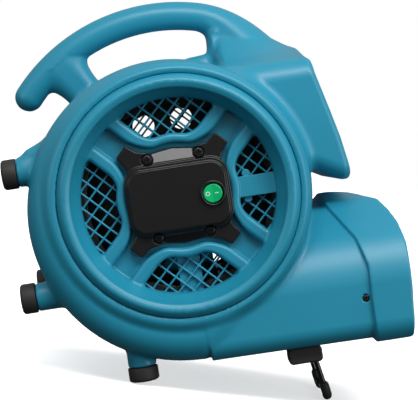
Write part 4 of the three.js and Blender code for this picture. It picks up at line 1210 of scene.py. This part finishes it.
def link(item):
    """Adds an object to the scene."""
    bpy.context.scene.collection.objects.link(item)
    return item


def lamp(name, place, target, size, power):
    """Soft box aimed at a point."""
    light = bpy.data.lights.new(name, "AREA")
    light.shape = "RECTANGLE"
    light.size, light.size_y = size
    light.energy = power
    item = link(bpy.data.objects.new(name, light))
    item.location = place
    aim = Vector(target) - Vector(place)
    item.rotation_euler = aim.to_track_quat("-Z", "Y").to_euler()


def studio_floor(reach=30.0):
    """Pale floor under the machine, evenly lit by a lamp of its own."""
    mesh = bpy.data.meshes.new("studio_floor")
    corners = [(-reach, -reach, 0), (reach, -reach, 0), (reach, reach, 0), (-reach, reach, 0)]
    mesh.from_pydata(corners, [], [(0, 1, 2, 3)])
    floor = link(bpy.data.objects.new("studio_floor", mesh))
    mesh.materials.append(plastic("pale_floor", (0.80, 0.81, 0.82), 0.9, 0.02, 40, 0.01))
    floor.visible_diffuse = False
    floor.visible_glossy = False
    light = bpy.data.lights.new("floor_wash", "SUN")
    light.energy = 4.5
    light.angle = math.radians(80)
    wash = link(bpy.data.objects.new("floor_wash", light))
    only_floor = bpy.data.collections.new("lit_by_wash")
    only_floor.objects.link(floor)
    wash.light_linking.receiver_collection = only_floor
    wash.light_linking.blocker_collection = only_floor


def studio_world():
    """White surroundings as the camera sees them, dimmer and shaded by height as a light."""
    world = bpy.data.worlds.new("studio")
    bpy.context.scene.world = world
    world.use_nodes = True
    nodes, links = world.node_tree.nodes, world.node_tree.links
    background = nodes["Background"]
    background.inputs["Color"].default_value = (1, 1, 1, 1)
    place = nodes.new("ShaderNodeTexCoord")
    height = nodes.new("ShaderNodeSeparateXYZ")
    links.new(place.outputs["Generated"], height.inputs["Vector"])
    by_height = nodes.new("ShaderNodeMapRange")
    by_height.inputs["From Min"].default_value = -0.3
    by_height.inputs["From Max"].default_value = 0.7
    by_height.inputs["To Min"].default_value = 0.05
    by_height.inputs["To Max"].default_value = 0.50
    links.new(height.outputs["Z"], by_height.inputs["Value"])
    rays = nodes.new("ShaderNodeLightPath")
    strength = nodes.new("ShaderNodeMapRange")
    strength.inputs["To Max"].default_value = 1.0
    links.new(by_height.outputs["Result"], strength.inputs["To Min"])
    links.new(rays.outputs["Is Camera Ray"], strength.inputs["Value"])
    links.new(strength.outputs["Result"], background.inputs["Strength"])


def camera():
    """Long lens square to the ionizer side, tilted with the machine."""
    place = Vector((-0.0433, -1.630, 0.2245))
    right = Vector((0.99126, 0, 0.13191))
    up = Vector((-0.13191, 0, 0.99126))
    aim = Vector((0, 1.490, 0)) + 0.03526 * right - 0.04599 * up
    back = -aim.normalized()
    side = (right - right.dot(back) * back).normalized()
    data = bpy.data.cameras.new("camera")
    data.lens = 138.94
    data.sensor_width = 36
    data.clip_start, data.clip_end = 0.05, 100
    eye = link(bpy.data.objects.new("camera", data))
    turn = Matrix((side, back.cross(side), back)).transposed().to_4x4()
    eye.matrix_world = Matrix.Translation(place) @ turn
    bpy.context.scene.camera = eye


studio_floor()
studio_world()
lamp("key", (0.15, -1.05, 1.35), (0, 0, 0.2), (1.6, 0.5), 20)
lamp("fill", (1.7, -1.5, 0.55), (0, 0, 0.15), (1.0, 1.1), 12)
lamp("left_fill", (-1.8, -1.2, 0.35), (0, 0, 0.15), (1.0, 1.0), 5)
camera()
bpy.context.scene.view_settings.view_transform = "Standard"
